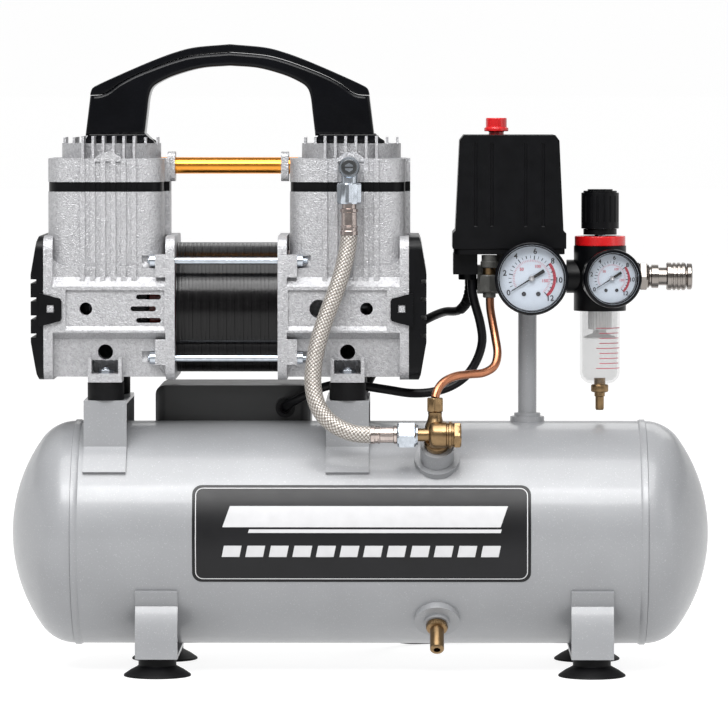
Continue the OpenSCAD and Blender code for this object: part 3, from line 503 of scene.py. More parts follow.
def round_rows(low, high, radius, edge=0.0004):
    """Lathe rows of a round with chamfered ends."""
    return [(low, 0), (low, radius - edge), (low + edge, radius), (high - edge, radius),
            (high, radius - edge), (high, 0)]


def thread_rows(low, high, radius, pitch, depth):
    """Lathe rows of ridges and grooves along a threaded end."""
    count = max(1, round((high - low) / pitch))
    step = (high - low) / count
    return [(low + step * (i + part), radius - (depth if part in (0, 1) else 0))
            for i in range(count) for part in (0, 0.35, 0.65)] + [(high, radius - depth)]


def plate(name, outline, front, back, place):
    """A flat plate from an outline of (right, up) points. place turns (right, up, towards the viewer) into
    the frame."""
    count = len(outline)
    points = [place(u, v, w) for w in (front, back) for u, v in outline]
    faces = [list(range(count)), list(range(2 * count - 1, count - 1, -1))]
    faces += [[k, k + count, (k + 1) % count + count, (k + 1) % count] for k in range(count)]
    return mesh_object(name, points, faces)


def arc_points(cx, cy, r, start, end, count):
    """Points on an arc, in degrees anticlockwise from the right."""
    turns = [math.radians(start + (end - start) * i / count) for i in range(count + 1)]
    return [(cx + r * math.cos(t), cy + r * math.sin(t)) for t in turns]


def rounded_box(half_w, half_h, r, count=6):
    """The outline of a rounded rectangle about the middle, anticlockwise."""
    corners = ((1, 1, 0), (-1, 1, 90), (-1, -1, 180), (1, -1, 270))
    return [point for right, up, start in corners
            for point in arc_points(right * (half_w - r), up * (half_h - r), r, start, start + 90, count)]


def mm(points):
    return [Vector(p) * 0.001 for p in points]


# ---------- cords ----------

CABLE_D, HOSE_D, TUBE_D = 0.0064, 0.0122, 0.006
BRAID_R, BRAID_DEPTH = HOSE_D / 2 - 0.0001, 0.0007
# Share of the braid's depth that lies inside BRAID_R.
BRAID_SUNK = 0.75
COIL_AT = Vector((0.072, 0.210, 0))
COIL_RADII = [0.0444, 0.038, 0.0316, 0.0316, 0.038, 0.0444]
COIL_LEVELS = [0.0032] * 3 + [0.0096] * 3
TURN, CROSSING, COIL_START, LAST_TURN = 330, 100, -80, 260
CORD_ROUTE = mm([
    (80, 9, 280), (79.8, 9.4, 275.3), (78.7, 11.3, 268.9), (76.4, 15.2, 262.7),
    (72.4, 22.1, 257.4), (67.8, 30.2, 255.5), (63, 38.4, 255.2), (58, 47.1, 253.6),
    (51.5, 55, 250.5), (43, 61, 245.6), (33.5, 65, 238.5), (23.5, 66.8, 229), (14, 67.4, 217),
    (6, 67.8, 203.5), (-0.5, 69, 189), (-5.5, 72, 172.5), (-9, 77, 155), (-10.3, 82.5, 137),
    (-10.5, 87, 117.5), (-10, 90, 97.5), (-9, 92, 78.5), (-7, 96, 60), (-3, 102, 43.5),
    (3, 111, 28.5), (11, 122.5, 16.5), (21, 135.5, 8.2), (33, 148, 4.2), (46, 157, 3.2),
    (58, 162, 3.2), (69.5, 164.8, 3.2), (80.5, 166.4, 3.2)])
TAIL_ROUTE = mm([
    (107.5, 236.7, 9.6), (98.4, 247.7, 9.6), (84.6, 256.6, 9.6), (67.8, 260, 9.6),
    (52, 257.2, 9.6), (38, 248.2, 9.7), (24, 232, 10.4)])
LEAD_ROUTE = mm([
    (80, -9, 280), (80.4, -9, 271), (82.6, -9, 261.5), (86, -8.5, 249), (87.5, -8, 236),
    (84, -8, 223), (76.5, -9, 211.5), (65, -11, 203.5), (51, -14, 199.5), (36, -17, 199),
    (20, -19.5, 201.5), (4, -21, 204), (-8, -21.5, 205.3), (-20, -20, 204.8),
    (-30.5, -17, 201.6), (-39.4, -12.8, 196.9), (-45, -9.3, 193.9), (-49.6, -4.6, 191.2),
    (-52.7, 1.3, 188.8), (-54, 8, 187)])
HOSE_ROUTE = mm([
    (-7.2, -58, 313), (-8.2, -58.6, 304), (-10.6, -60, 293), (-14, -61.5, 281), (-19, -63, 267),
    (-24.5, -64.5, 252.5), (-29, -66, 237.5), (-32, -67.5, 222), (-32.6, -69.5, 208),
    (-30.2, -72.5, 196), (-24.5, -75, 186), (-15.5, -76.8, 178.8), (-4.5, -77.6, 174.3),
    (8, -77.7, 173)])
TUBE_ROUTE = mm([
    (92.7, -24, 270), (93, -24.6, 260), (94.6, -26.5, 250), (96.6, -30, 239), (98, -35, 228),
    (95.5, -41, 219.5), (88, -47, 215.2), (78, -53, 214.4), (68, -60, 213.4), (60, -66.5, 210),
    (55.2, -71.6, 204.5), (53.5, -73.6, 199)])


def coil_turns():
    """Three turns side by side on the floor and three on top, with a slanting crossing between turns."""
    points = []
    for swept in range(15, 5 * TURN + LAST_TURN, 15):
        turn = min(5, swept // TURN)
        into = swept - turn * TURN - (TURN - CROSSING)
        share = (1 - math.cos(math.pi * into / CROSSING)) / 2 if into > 0 and turn < 5 else 0
        after = min(5, turn + 1)
        r = COIL_RADII[turn] + share * (COIL_RADII[after] - COIL_RADII[turn])
        z = COIL_LEVELS[turn] + share * (COIL_LEVELS[after] - COIL_LEVELS[turn])
        a = math.radians(COIL_START + swept)
        points.append(COIL_AT + Vector((r * math.cos(a), r * math.sin(a), z)))
    return points


def weave(carriers=12, pitch=0.034, height=BRAID_DEPTH):
    """Relief of a two-over, two-under wire braid, from the distance along and the angle round."""
    def relief(along, angle):
        one = (angle / (2 * math.pi) + along / pitch) * carriers
        other = (angle / (2 * math.pi) - along / pitch) * carriers
        over = (math.floor(one) + math.floor(other)) % 2 == 0
        band, across = (one, other) if over else (other, one)
        ridge = math.sin(math.pi * (band % 1)) ** 0.7
        crown = math.sin(math.pi * (across % 1)) ** 0.5
        strand = 0.86 + 0.14 * abs(math.sin(math.pi * 4 * (band % 1)))
        return height * (ridge * strand * (0.35 + 0.65 * crown) - BRAID_SUNK)
    return relief


def store_depth(obj, path, radius, height):
    """Keeps how far each point stands out of the hose, from 0 in the gaps to 1 on the wires, as the mask for
    the painted shade in the gaps.
    """
    sides = len(obj.data.vertices) // len(path)
    values = []
    for i, point in enumerate(path):
        for k in range(sides):
            out = (obj.data.vertices[i * sides + k].co - point).length - radius
            values.append(max(0.0, min(1.0, out / height + BRAID_SUNK)))
    attribute = obj.data.attributes.new("weave", "FLOAT", "POINT")
    attribute.data.foreach_set("value", values)


def strain_relief(name, path, reach=0.024, wide=0.0049, narrow=0.0037, rib=0.004):
    """A tapered sleeve over the first stretch of a cord, with ribs across it."""
    stretch = curve_through(path[:2 + int(reach / 0.004)], 0.0005)

    def radius(along):
        share = min(1.0, along / reach)
        groove = 0.0005 if 0.2 < share < 0.92 and (along % rib) < rib * 0.35 else 0
        return wide + (narrow - wide) * share - groove
    return tube(name, stretch, radius, 32)


def make_cords():
    path = curve_through(CORD_ROUTE + coil_turns() + TAIL_ROUTE, 0.004)
    cord = finish_piece(tube("mains_lead", path, CABLE_D / 2), "base", cable_sheath())
    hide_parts("mains_cord", "mains_coil")
    relief = finish_piece(strain_relief("cord_strain_relief", path), "base", rubber())
    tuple(path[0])

    path = curve_through(LEAD_ROUTE, 0.003)
    lead = finish_piece(tube("motor_cable", path, CABLE_D / 2), "base", cable_sheath())
    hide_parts("motor_lead")
    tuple(path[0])

    path = curve_through(HOSE_ROUTE, 0.0005)
    hose = tube("steel_braid_hose", path, BRAID_R, 96, weave())
    # The stored depth darkens the braid's gaps with painted shade.
    store_depth(hose, path, BRAID_R, BRAID_DEPTH)
    finish_piece(hose, "base", braid_wire(), crease=80)
    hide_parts("braided_hose")
    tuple(path[0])

    path = curve_through(TUBE_ROUTE, 0.002)
    pipe = finish_piece(tube("unloader_pipe", path, TUBE_D / 2, 20), "base", copper())
    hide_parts("unloader_tube")


# ---------- handle ----------

HANDLE_X = -0.093
GRIP_HALF = [(0, 448.2), (24.5, 446), (39, 442.4), (53.3, 437.2), (67.7, 431.2), (82, 424.9), (93.5, 419.6),
             (98.2, 416.8), (99.6, 413.2)]
SEAM_HALF = [(0, 442.5), (24.5, 440.3), (39, 436.8), (53.3, 431.8), (67.7, 426), (79, 420), (86, 414.8),
             (91.5, 412.2), (99.7, 411.6)]
INNER_HALF = [(0, 432.8), (20, 431.2), (38, 426.4), (49, 421.6), (55, 417.4), (57.6, 411), (59, 400),
              (61, 382.9)]


def both_ways(half, offset=0.0):
    """A smooth line across the handle from its half, lowered by offset."""
    line = curve_through([Vector((u, 0, z)) for u, z in half], 2.5)
    right = [(p.x, p.z - offset) for p in line]
    return [(-u, z) for u, z in right[:0:-1]] + right


def rounded_slab(name, outline, half_y, r, steps=5):
    """An outline of (x, z) points extruded along Y, with rounded edges."""
    count = len(outline)
    inward = []
    for k in range(count):
        a, b = outline[k - 1], outline[(k + 1) % count]
        run = math.hypot(b[0] - a[0], b[1] - a[1]) or 1
        inward.append(((b[1] - a[1]) / run, -(b[0] - a[0]) / run))
    rows = []
    for i in range(2 * steps + 2):
        turn = math.radians(90 * (steps - i if i <= steps else i - steps - 1) / steps)
        side = -1 if i <= steps else 1
        inset, y = r * (1 - math.cos(turn)), side * (half_y - r + r * math.sin(turn))
        rows.append([(p[0] + n[0] * inset, y, p[1] + n[1] * inset) for p, n in zip(outline, inward)])
    points = [Vector(p) * 0.001 for row in rows for p in row]
    faces = [list(range(count - 1, -1, -1)), list(range(len(points) - count, len(points)))]
    for i in range(len(rows) - 1):
        faces += [[i * count + k, i * count + (k + 1) % count, (i + 1) * count + (k + 1) % count,
                   (i + 1) * count + k] for k in range(count)]
    return mesh_object(name, points, faces)


def make_handle():
    """Arched body and soft grip along its top, clockwise outlines seen from the front."""
    shift = HANDLE_X * 1000
    outer = [(-103.2, 382.9)] + both_ways(SEAM_HALF, 0.1) + [(103.2, 382.9)]
    arch = [(shift + u, z) for u, z in outer + both_ways(INNER_HALF)[::-1]]
    body = rounded_slab("handle_arch", arch, 16, 2.6)
    feet = []
    for x in (-172.5, -8):
        foot = [(x - 25, 377.7), (x - 21, 384.5), (x + 19, 384.5), (x + 25.5, 377.7)]
        feet.append(rounded_slab("foot", foot, 15.8, 1.5))
    handle = merged("handle_body", [body] + feet)
    finish_piece(handle, "base", gloss_black(), crease=40)
    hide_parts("handle")
    strip = [(shift + u, z) for u, z in both_ways(GRIP_HALF) + both_ways(SEAM_HALF, -0.2)[::-1]]
    grip = rounded_slab("grip_strip", strip, 14.5, 0.6)
    finish_piece(grip, "base", gloss_black(), crease=40)
    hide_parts("handle_grip")


# ---------- gauges ----------

GAUGE_BACK, GAUGE_FACE = -0.0315, -0.050
SCALE_FROM, SCALE_TO, FULL_SCALE = 212, -47, 12


def gauge_place(node, turn):
    """Turns (right, up, towards the front) on a gauge's face into the frame."""
    low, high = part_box(node)
    middle = Vector(((low.x + high.x) / 2, 0, (low.z + high.z) / 2))
    if turn:
        middle.x = (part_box("regulator_ring")[0].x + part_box("regulator_ring")[1].x) / 2
    spin = Matrix.Rotation(math.radians(turn), 4, "Z")

    def place(u, v, front):
        return Matrix.Translation(middle) @ spin @ Vector((u, -front, v))
    return place, Matrix.Translation(middle) @ spin @ Matrix.Rotation(math.radians(90), 4, "X")


def scale_angle(value):
    return math.radians(SCALE_FROM + (SCALE_TO - SCALE_FROM) * value / FULL_SCALE)


def along_scale(value, corners):
    """Dial points of (outwards, sideways) corners at a value of the scale."""
    a = scale_angle(value)
    return [(r * math.cos(a) - w * math.sin(a), r * math.sin(a) + w * math.cos(a)) for r, w in corners]


def tick(place, value, inner, outer, width, front):
    half = width / 2
    outline = along_scale(value, [(inner, -half), (outer, -half), (outer, half), (inner, half)])
    return plate("tick", outline, front, front - 0.0001, place)


def dial_number(text, place, value, reach, size, front):
    """A scale number as a thin mesh, reach from the dial's middle."""
    data = bpy.data.curves.new("number", "FONT")
    data.body, data.size, data.align_x, data.align_y = text, size, "CENTER", "CENTER"
    data.extrude, data.offset, data.resolution_u = 0.00003, size * 0.022, 3
    obj = bpy.data.objects.new("number", data)
    SCENE.collection.objects.link(obj)
    bpy.context.view_layer.update()
    mesh = bpy.data.meshes.new_from_object(obj.evaluated_get(bpy.context.evaluated_depsgraph_get()))
    bpy.data.objects.remove(obj)
    (right, up), = along_scale(value, [(reach, 0)])
    points = [place(right + v.co.x, up + v.co.y, front + v.co.z) for v in mesh.vertices]
    return mesh_object("number", points, [list(p.vertices) for p in mesh.polygons])


def make_gauge(size, node, pointer_body, case_r, dial_r, turn):
    place, axis = gauge_place(node, turn)
    back, face = -GAUGE_BACK, -GAUGE_FACE
    plate_at = face - 0.007
    k = dial_r / 0.0235
    case = lathe_mesh(f"gauge_case_{size}", [
        (back, 0), (back, case_r - 0.003), (back + 0.0015, case_r - 0.0012), (back + 0.003, case_r - 0.0008),
        (face - 0.0052, case_r - 0.0008), (face - 0.0048, case_r), (face - 0.0012, case_r),
        (face - 0.0003, case_r - 0.0005), (face, case_r - 0.0013), (face - 0.0001, dial_r + 0.0006),
        (face - 0.0008, dial_r + 0.0001), (face - 0.0022, dial_r), (plate_at, dial_r),
        (plate_at, 0)], axis, 128)
    finish_piece(case, "base", gloss_black(), crease=30)
    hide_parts(node)
    rim = lathe_mesh(f"gauge_rim_{size}", [
        (face - 0.0002, dial_r + 0.0012), (face + 0.00005, dial_r + 0.00105),
        (face + 0.00005, dial_r + 0.0008), (face - 0.0003, dial_r + 0.0006),
        (face - 0.0002, dial_r + 0.0012)], axis, 128)
    finish_piece(rim, "base", zinc(), crease=30)
    sheet = lathe_mesh(f"dial_face_{size}", [
        (plate_at + 0.0001, 0), (plate_at + 0.0001, dial_r - 0.0002), (plate_at + 0.0004, dial_r - 0.0002),
        (plate_at + 0.0004, 0)], axis, 96)
    finish_piece(sheet, "base", dial_paper())
    top = plate_at + 0.0006
    marks = []
    for v in range(2 * FULL_SCALE + 1):
        inner, width = 0.0147 if v % 4 else 0.0138, 0.0004 if v % 2 else 0.0007
        marks.append(tick(place, v / 2, inner * k, 0.0168 * k, width * k, top))
    for value in range(0, FULL_SCALE + 1, 2):
        marks.append(dial_number(str(value), place, value, 0.0198 * k, 0.0056 * k, top))
    for u in (-0.0056, 0.0049):
        ring = arc_points(u * k, -0.0113 * k, 0.0017 * k, 0, 330, 11)
        marks.append(plate("screw", ring, top + 0.0002, top - 0.0001, place))
    finish_piece(merged(f"dial_marks_{size}", marks), "base", dial_ink(), crease=30)
    fine = [tick(place, v / 4, 0.0123 * k, 0.0138 * k, 0.0003 * k, top) for v in range(4 * FULL_SCALE + 1)]
    for text, value in (("50", 3.45), ("100", 6.9), ("150", 10.3)):
        fine.append(dial_number(text, place, value, 0.0098 * k, 0.0032 * k, top))
    finish_piece(merged(f"dial_inner_scale_{size}", fine), "base", dial_pink(), crease=30)
    band = arc_points(0, 0, 0.0179 * k, 40, -49, 30) + arc_points(0, 0, 0.0157 * k, -49, 40, 30)
    zone = plate(f"dial_red_zone_{size}", band, top, top - 0.0001, place)
    finish_piece(zone, "base", dial_red())
    make_pointer(size, pointer_body, place, axis, k, plate_at)


def make_pointer(size, body, place, axis, k, plate_at):
    corners = [(0.0190, 0.0001), (0.004, 0.00055), (-0.0015, 0.0006), (-0.0017, 0.00105), (-0.0108, 0.0013)]
    corners += [(r, -w) for r, w in corners[::-1]]
    outline = along_scale(0, [(k * r, k * w) for r, w in corners])
    blade = plate("blade", outline, plate_at + 0.0021, plate_at + 0.0015, place)
    pin = lathe_mesh("pin", [(plate_at - 0.003, 0), (plate_at - 0.003, 0.0014), (plate_at + 0.0011, 0.0014),
                             (plate_at + 0.0011, 0)], axis, 24)
    pointer = finish_piece(merged(f"pointer_{size}", [blade, pin]), body, black_plastic())
    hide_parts(f"needle_{size}")
    hub = lathe_mesh(f"pointer_hub_{size}", [
        (plate_at + 0.0012, 0), (plate_at + 0.0012, 0.0022 * k), (plate_at + 0.0026, 0.0022 * k),
        (plate_at + 0.003, 0.0018 * k), (plate_at + 0.0031, 0.0005), (plate_at + 0.0026, 0)], axis, 32)
    finish_piece(hub, body, steel())


# ---------- label ----------

LABEL_LIFT = 0.068  # radians up round the tank


def wrapped(name, outline, lift, middle_x, middle_z, r, thickness=0.00012):
    """A thin patch on the tank's front from (along, round) points, both in metres, cut into narrow strips."""
    flat = bmesh.new()
    ring = [flat.verts.new((u, v, 0)) for u, v in outline]
    flat.faces.new(ring)
    low, high = min(v for u, v in outline), max(v for u, v in outline)
    cuts = max(1, round((high - low) / 0.003))
    for i in range(1, cuts):
        level = low + (high - low) * i / cuts
        bmesh.ops.bisect_plane(flat, geom=flat.verts[:] + flat.edges[:] + flat.faces[:],
                               plane_co=(0, level, 0), plane_no=(0, 1, 0))
    extruded = bmesh.ops.extrude_face_region(flat, geom=flat.faces[:])
    for v in extruded["geom"]:
        if isinstance(v, bmesh.types.BMVert):
            v.co.z = thickness
    for v in flat.verts:
        a = v.co.y / r + LABEL_LIFT
        reach = r + lift + v.co.z
        v.co = Vector((middle_x + v.co.x, -reach * math.cos(a), middle_z + reach * math.sin(a)))
    bmesh.ops.recalc_face_normals(flat, faces=flat.faces[:])
    mesh = bpy.data.meshes.new(name)
    flat.to_mesh(mesh)
    flat.free()
    obj = bpy.data.objects.new(name, mesh)
    SCENE.collection.objects.link(obj)
    return obj


def make_label():
    """A black panel with a keyline and plain bars in place of lettering."""
    middle_z = (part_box("tank_heads")[0].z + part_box("tank_heads")[1].z) / 2
    r, x = 0.080, 0.0017
    half_w, half_h = 0.1195, 0.0352
    panel = wrapped("label_panel", rounded_box(half_w, half_h, 0.007), 0.0001, x, middle_z, r)
    finish_piece(panel, "base", label_black(), crease=30)
    line, lift, edge = 0.0006, 0.0003, 0.0022
    outer = rounded_box(half_w - edge, half_h - edge, 0.0055, 5)
    inner = rounded_box(half_w - edge - line, half_h - edge - line, 0.0049, 5)
    marks = [wrapped("side", [outer[k], outer[(k + 1) % len(outer)], inner[(k + 1) % len(inner)], inner[k]],
                     lift, x, middle_z, r) for k in range(len(outer))]
    for start, end, low_v, high_v in ((-0.098, 0.098, 0.0045, 0.0195), (-0.080, 0.098, 0.0005, 0.0030)):
        lean = (high_v - low_v) * 0.35
        bar = [(start, low_v), (end, low_v), (end + lean, high_v), (start + lean, high_v)]
        marks.append(wrapped("bar", bar, lift, x, middle_z, r))
    for i in range(12):
        start = -0.0985 + i * 0.0166
        marks.append(wrapped("dash", [(start, -0.0165), (start + 0.0125, -0.0165), (start + 0.0141, -0.0085),
                                      (start + 0.0016, -0.0085)], lift, x, middle_z, r))
    finish_piece(merged("label_marks", marks), "base", label_white(), crease=30)


# ---------- motor and tie rods ----------

def along_x(y, z):
    """A lathe frame whose axis is the line along +X at (y, z)."""
    return Matrix.Translation((0, y, z)) @ Matrix.Rotation(math.radians(90), 4, "Y")


def make_stator():
    """Stacked sheets with fine gaps between them, a wider one every so often."""
    low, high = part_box("stator")
    axis = along_x(0, (low.z + high.z) / 2)
    outer, bore, sheet = (high.z - low.z) / 2, 0.028, 0.001
    rows = [(low.x, bore), (low.x, outer - 0.0003)]
    count = round((high.x - low.x) / sheet)
    for i in range(count):
        start = low.x + i * sheet
        depth = 0.00022 if i % 6 == 5 else 0.0001
        edge = outer - 0.00002 * (i % 3)
        rows += [(start + 0.00008, edge), (start + sheet - 0.0002, edge),
                 (start + sheet - 0.0001, outer - depth)]
    rows += [(high.x, outer - 0.0003), (high.x, bore), (low.x, bore)]
    stack = lathe_mesh("stator_stack", rows, axis, 160)
    finish_piece(stack, "base", lamination(), crease=25)
    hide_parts("stator")


# A tie rod's thread: radius over its crests, pitch and depth.
THREAD = (0.00215, 0.0009, 0.0003)


def make_tie_rods():
    low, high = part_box("tie_rods")
    inset = 0.0035 / math.cos(math.radians(30))
    ys, zs = (low.y + inset, high.y - inset), (low.z + 0.0035, high.z - 0.0035)
    left, right = low.x, high.x
    parts = []
    for y in ys:
        for z in zs:
            axis = along_x(y, z)
            rows = [(left, 0), (left, 0.0017)] + thread_rows(left + 0.0004, left + 0.013, *THREAD)
            rows += [(left + 0.0135, 0.0025), (right - 0.0185, 0.0025)]
            rows += thread_rows(right - 0.018, right - 0.0004, *THREAD) + [(right, 0.0017), (right, 0)]
            parts.append(lathe_mesh("rod", rows, axis, 24))
            for start in (left + 0.002, right - 0.0075):
                parts.append(lathe_mesh("nut", nut_rows(start, start + 0.0035, 0.007, 0.0005), axis, 48))
                washer = round_rows(start - 0.0004, start + 0.0039, 0.0043, 0.0002)
                parts.append(lathe_mesh("washer", washer, axis, 32))
    rods = finish_piece(merged("tie_rod_set", parts), "base", zinc(), crease=30)
    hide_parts("tie_rods")


# ---------- hose fittings, valve, drain ----------

def make_hose_fittings():
    elbow = Vector((-0.0072, -0.058, 0.361))
    up = Matrix.Translation((elbow.x, elbow.y, 0))
    forward = Matrix.Translation((elbow.x, 0, elbow.z)) @ Matrix.Rotation(math.radians(90), 4, "X")
    across = along_x(VALVE_Y, VALVE_Z)
    bright = [
        lathe_mesh("body", [(0.036, 0), (0.036, 0.0045), (0.0458, 0.0045), (0.046, 0.0068), (0.0468, 0.0075),
                            (0.0640, 0.0075), (0.0650, 0.0068), (0.0650, 0.0060), (0.0644, 0.0058),
                            (0.0644, 0)], forward, 48),
        lathe_mesh("riser", [(0.3495, 0), (0.3495, 0.0060), (0.3630, 0.0060), (0.3650, 0.0046),
                             (0.3652, 0)], up, 48),
        lathe_mesh("nut", nut_rows(0.3352, 0.350, 0.017, 0.0012), up, 48),
        lathe_mesh("nut", nut_rows(0.027, 0.0400, 0.017, 0.0012), across, 48),
        lathe_mesh("end", round_rows(0.0400, 0.0415, 0.0072), across, 48)]
    fittings = finish_piece(merged("hose_nuts", bright), "base", zinc(), crease=30)
    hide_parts("hose_fittings")

    def ferrule_rows(hose_end, nut_end):
        """A crimped sleeve from the hose's end to the nut."""
        way = 1 if nut_end > hose_end else -1
        steps = [(0, 0.0059), (0.0002, 0.0064), (0.0028, 0.0064), (0.0034, 0.0059), (0.0052, 0.0059),
                 (0.0058, 0.0064), (0.0064, 0.0064), (0.0070, 0.0057), (0.0160, 0.0057), (0.0166, 0.0064),
                 (0.0185, 0.0064), (0.0190, 0.0052), (abs(nut_end - hose_end), 0.0052)]
        rows = [(hose_end + way * d, r) for d, r in steps]
        return [(rows[0][0], 0)] + rows + [(rows[-1][0], 0)]

    def crimp(angle, row):
        return 1 - 0.03 * (0.5 + 0.5 * math.cos(8 * angle)) ** 3 if 7 < row < 10 else 1
    sleeves = [lathe_mesh("ferrule", ferrule_rows(0.313, 0.335), up, 64, ripple=crimp),
               lathe_mesh("ferrule", ferrule_rows(0.008, 0.027), across, 64, ripple=crimp)]
    finish_piece(merged("hose_ferrules", sleeves), "base", ferrule_steel(), crease=30)
    disc = lathe_mesh("elbow_plug", [
        (0.0640, 0), (0.0640, 0.0056), (0.0648, 0.0056), (0.0650, 0.0053), (0.0650, 0.0028, "hex"),
        (0.0638, 0.0028, "hex"), (0.0638, 0)], forward, 48)
    bar = [(-0.0042, -0.0005), (0.0042, -0.0005), (0.0042, 0.0005), (-0.0042, 0.0005)]
    slot = plate("slot", bar, 0.0652, 0.0648, lambda u, v, w: Vector((elbow.x + u, -w, elbow.z + v)))
    finish_piece(merged("elbow_screw", [disc, slot]), "base", dark_steel(), crease=30)


def make_valve():
    """Check valve in cast brass and the unloader tube's fittings: inlet, body with its cap, neck down to
    the tank, and the tube's lower nut, upper ring and union."""
    across = along_x(VALVE_Y, VALVE_Z)
    neck = Matrix.Translation(BOSS_AT) @ Matrix.Rotation(math.radians(46), 4, "X")
    port = Matrix.Translation((0.0535, -0.0737, 0))
    parts = [
        lathe_mesh("body", [
            (0.0415, 0), (0.0415, 0.0046), (0.0490, 0.0046), (0.0494, 0.0058), (0.0503, 0.0080),
            (0.0520, 0.0093), (0.0545, 0.0095), (0.0612, 0.0095), (0.0618, 0.0088), (0.0628, 0.0088),
            (0.0633, 0.0097), (0.0650, 0.0097), (0.0656, 0.0089), (0.0664, 0.0089), (0.0664, 0)], across, 64),
        lathe_mesh("cap", nut_rows(0.0662, 0.0720, 0.017, 0.001), across, 48),
        lathe_mesh("neck", [
            (0.084, 0), (0.084, 0.0064), (0.0965, 0.0064), (0.0970, 0.0085), (0.0980, 0.0092),
            (0.1010, 0.0092), (0.1018, 0.0084), (0.1050, 0.0090), (0.1050, 0)], neck, 64),
        lathe_mesh("port", [
            (0.176, 0), (0.1765, 0.0075), (0.1800, 0.0068), (0.1835, 0.0054), (0.1865, 0.0048),
            (0.1885, 0.0050), (0.1890, 0.0045), (0.1890, 0)], port, 48)]
    body = finish_piece(merged("valve_body", parts), "base", brass(), crease=35)
    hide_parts("check_valve")
    nut = lathe_mesh("nut", nut_rows(0.189, 0.199, 0.011, 0.0008), port, 48)
    union = Matrix.Translation((0.0923, -0.024, 0))
    ring = lathe_mesh("ring", round_rows(0.2838, 0.2892, 0.0047, 0.0004), union, 48)
    finish_piece(merged("tube_nut", [nut, ring]), "base", brass(), crease=30)
    parts = [
        lathe_mesh("union_nut", nut_rows(0.2715, 0.2840, 0.013, 0.0009), union, 48),
        lathe_mesh("union_end", round_rows(0.2676, 0.2716, 0.0046, 0.0006), union, 48),
        lathe_mesh("union_seat", [(0.2890, 0), (0.2890, 0.0058), (0.2896, 0.0063), (0.2932, 0.0063),
                                  (0.2938, 0.0056), (0.2980, 0.0056), (0.2980, 0)], union, 48)]
    finish_piece(merged("unloader_union", parts), "base", manifold_grey(), crease=30)


def make_tank_drain():
    """Drain screw low on the front of the tank, with a knurled ring."""
    down = Matrix.Translation(BOSS_AT) @ Matrix.Rotation(math.radians(135), 4, "X")
    low = 0.0785
    top = max((v.co - BOSS_AT).dot(down.to_3x3() @ Z) for v in NODES["tank_drain"].data.vertices)
    rows = [(low, 0), (low, 0.00395), (0.0862, 0.00395), (0.0864, 0.0074), (0.0870, 0.0077), (0.0898, 0.0077),
            (0.0904, 0.0070), (0.0908, 0.0050), (top - 0.0008, 0.0050), (top, 0.0044), (top, 0.0024),
            (top - 0.008, 0.0024), (top - 0.008, 0)]
    screw = lathe_mesh("drain_cock", rows, down, 96,
                       ripple=lambda a, row: 1 - 0.05 * abs(math.sin(15 * a)) if row in (4, 5) else 1)
    finish_piece(screw, "drain_screw", brass(), crease=30)
    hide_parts("tank_drain")


def make_coupler():
    z = (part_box("coupler_sleeve")[0].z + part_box("coupler_sleeve")[1].z) / 2
    axis = along_x(0, z)
    end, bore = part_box("coupler_body")[1].x, 0.0046
    hexagon = lathe_mesh("hex", nut_rows(0.200, 0.206, 0.019, 0.001), axis, 48)
    shell = lathe_mesh("shell", [
        (0.2055, 0), (0.2055, 0.0078), (0.2068, 0.0085), (0.2075, 0.0072), (0.2084, 0.0072), (0.209, 0.0085),
        (0.2137, 0.0085), (0.214, 0.0065), (end - 0.004, 0.0065), (end - 0.0038, 0.0088),
        (end - 0.0031, 0.0095), (end - 0.0009, 0.0095), (end - 0.0002, 0.0088), (end, 0.0080),
        (end, bore + 0.0012), (end - 0.0008, bore), (end - 0.022, bore), (end - 0.022, 0)], axis, 96)
    body = finish_piece(merged("coupler_nipple", [hexagon, shell]), "base", nickel(), crease=30)
    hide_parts("coupler_body")
    low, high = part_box("coupler_sleeve")
    rows = [(low.x, 0.00655), (low.x, 0.0092), (low.x + 0.0008, 0.0100), (0.2228, 0.0100)]
    for i in range(3):
        start = 0.2230 + 0.0032 * i
        rows += [(start, 0.0092), (start + 0.0010, 0.0092), (start + 0.0013, 0.0100),
                 (start + 0.0029, 0.0100)]
    rows += [(high.x - 0.0012, 0.0100), (high.x - 0.0002, 0.0090), (high.x, 0.0082), (high.x, 0.00655),
             (low.x, 0.00655)]

    def knurl(angle, row):
        ridged = 5 < row < 18 and (row - 4) % 4 in (2, 3)
        return 1 - 0.007 * abs(math.sin(30 * angle)) if ridged else 1
    sleeve = lathe_mesh("coupler_slider", rows, axis, 240, ripple=knurl)
    finish_piece(sleeve, "sleeve", nickel(), crease=30)
    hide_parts("coupler_sleeve")


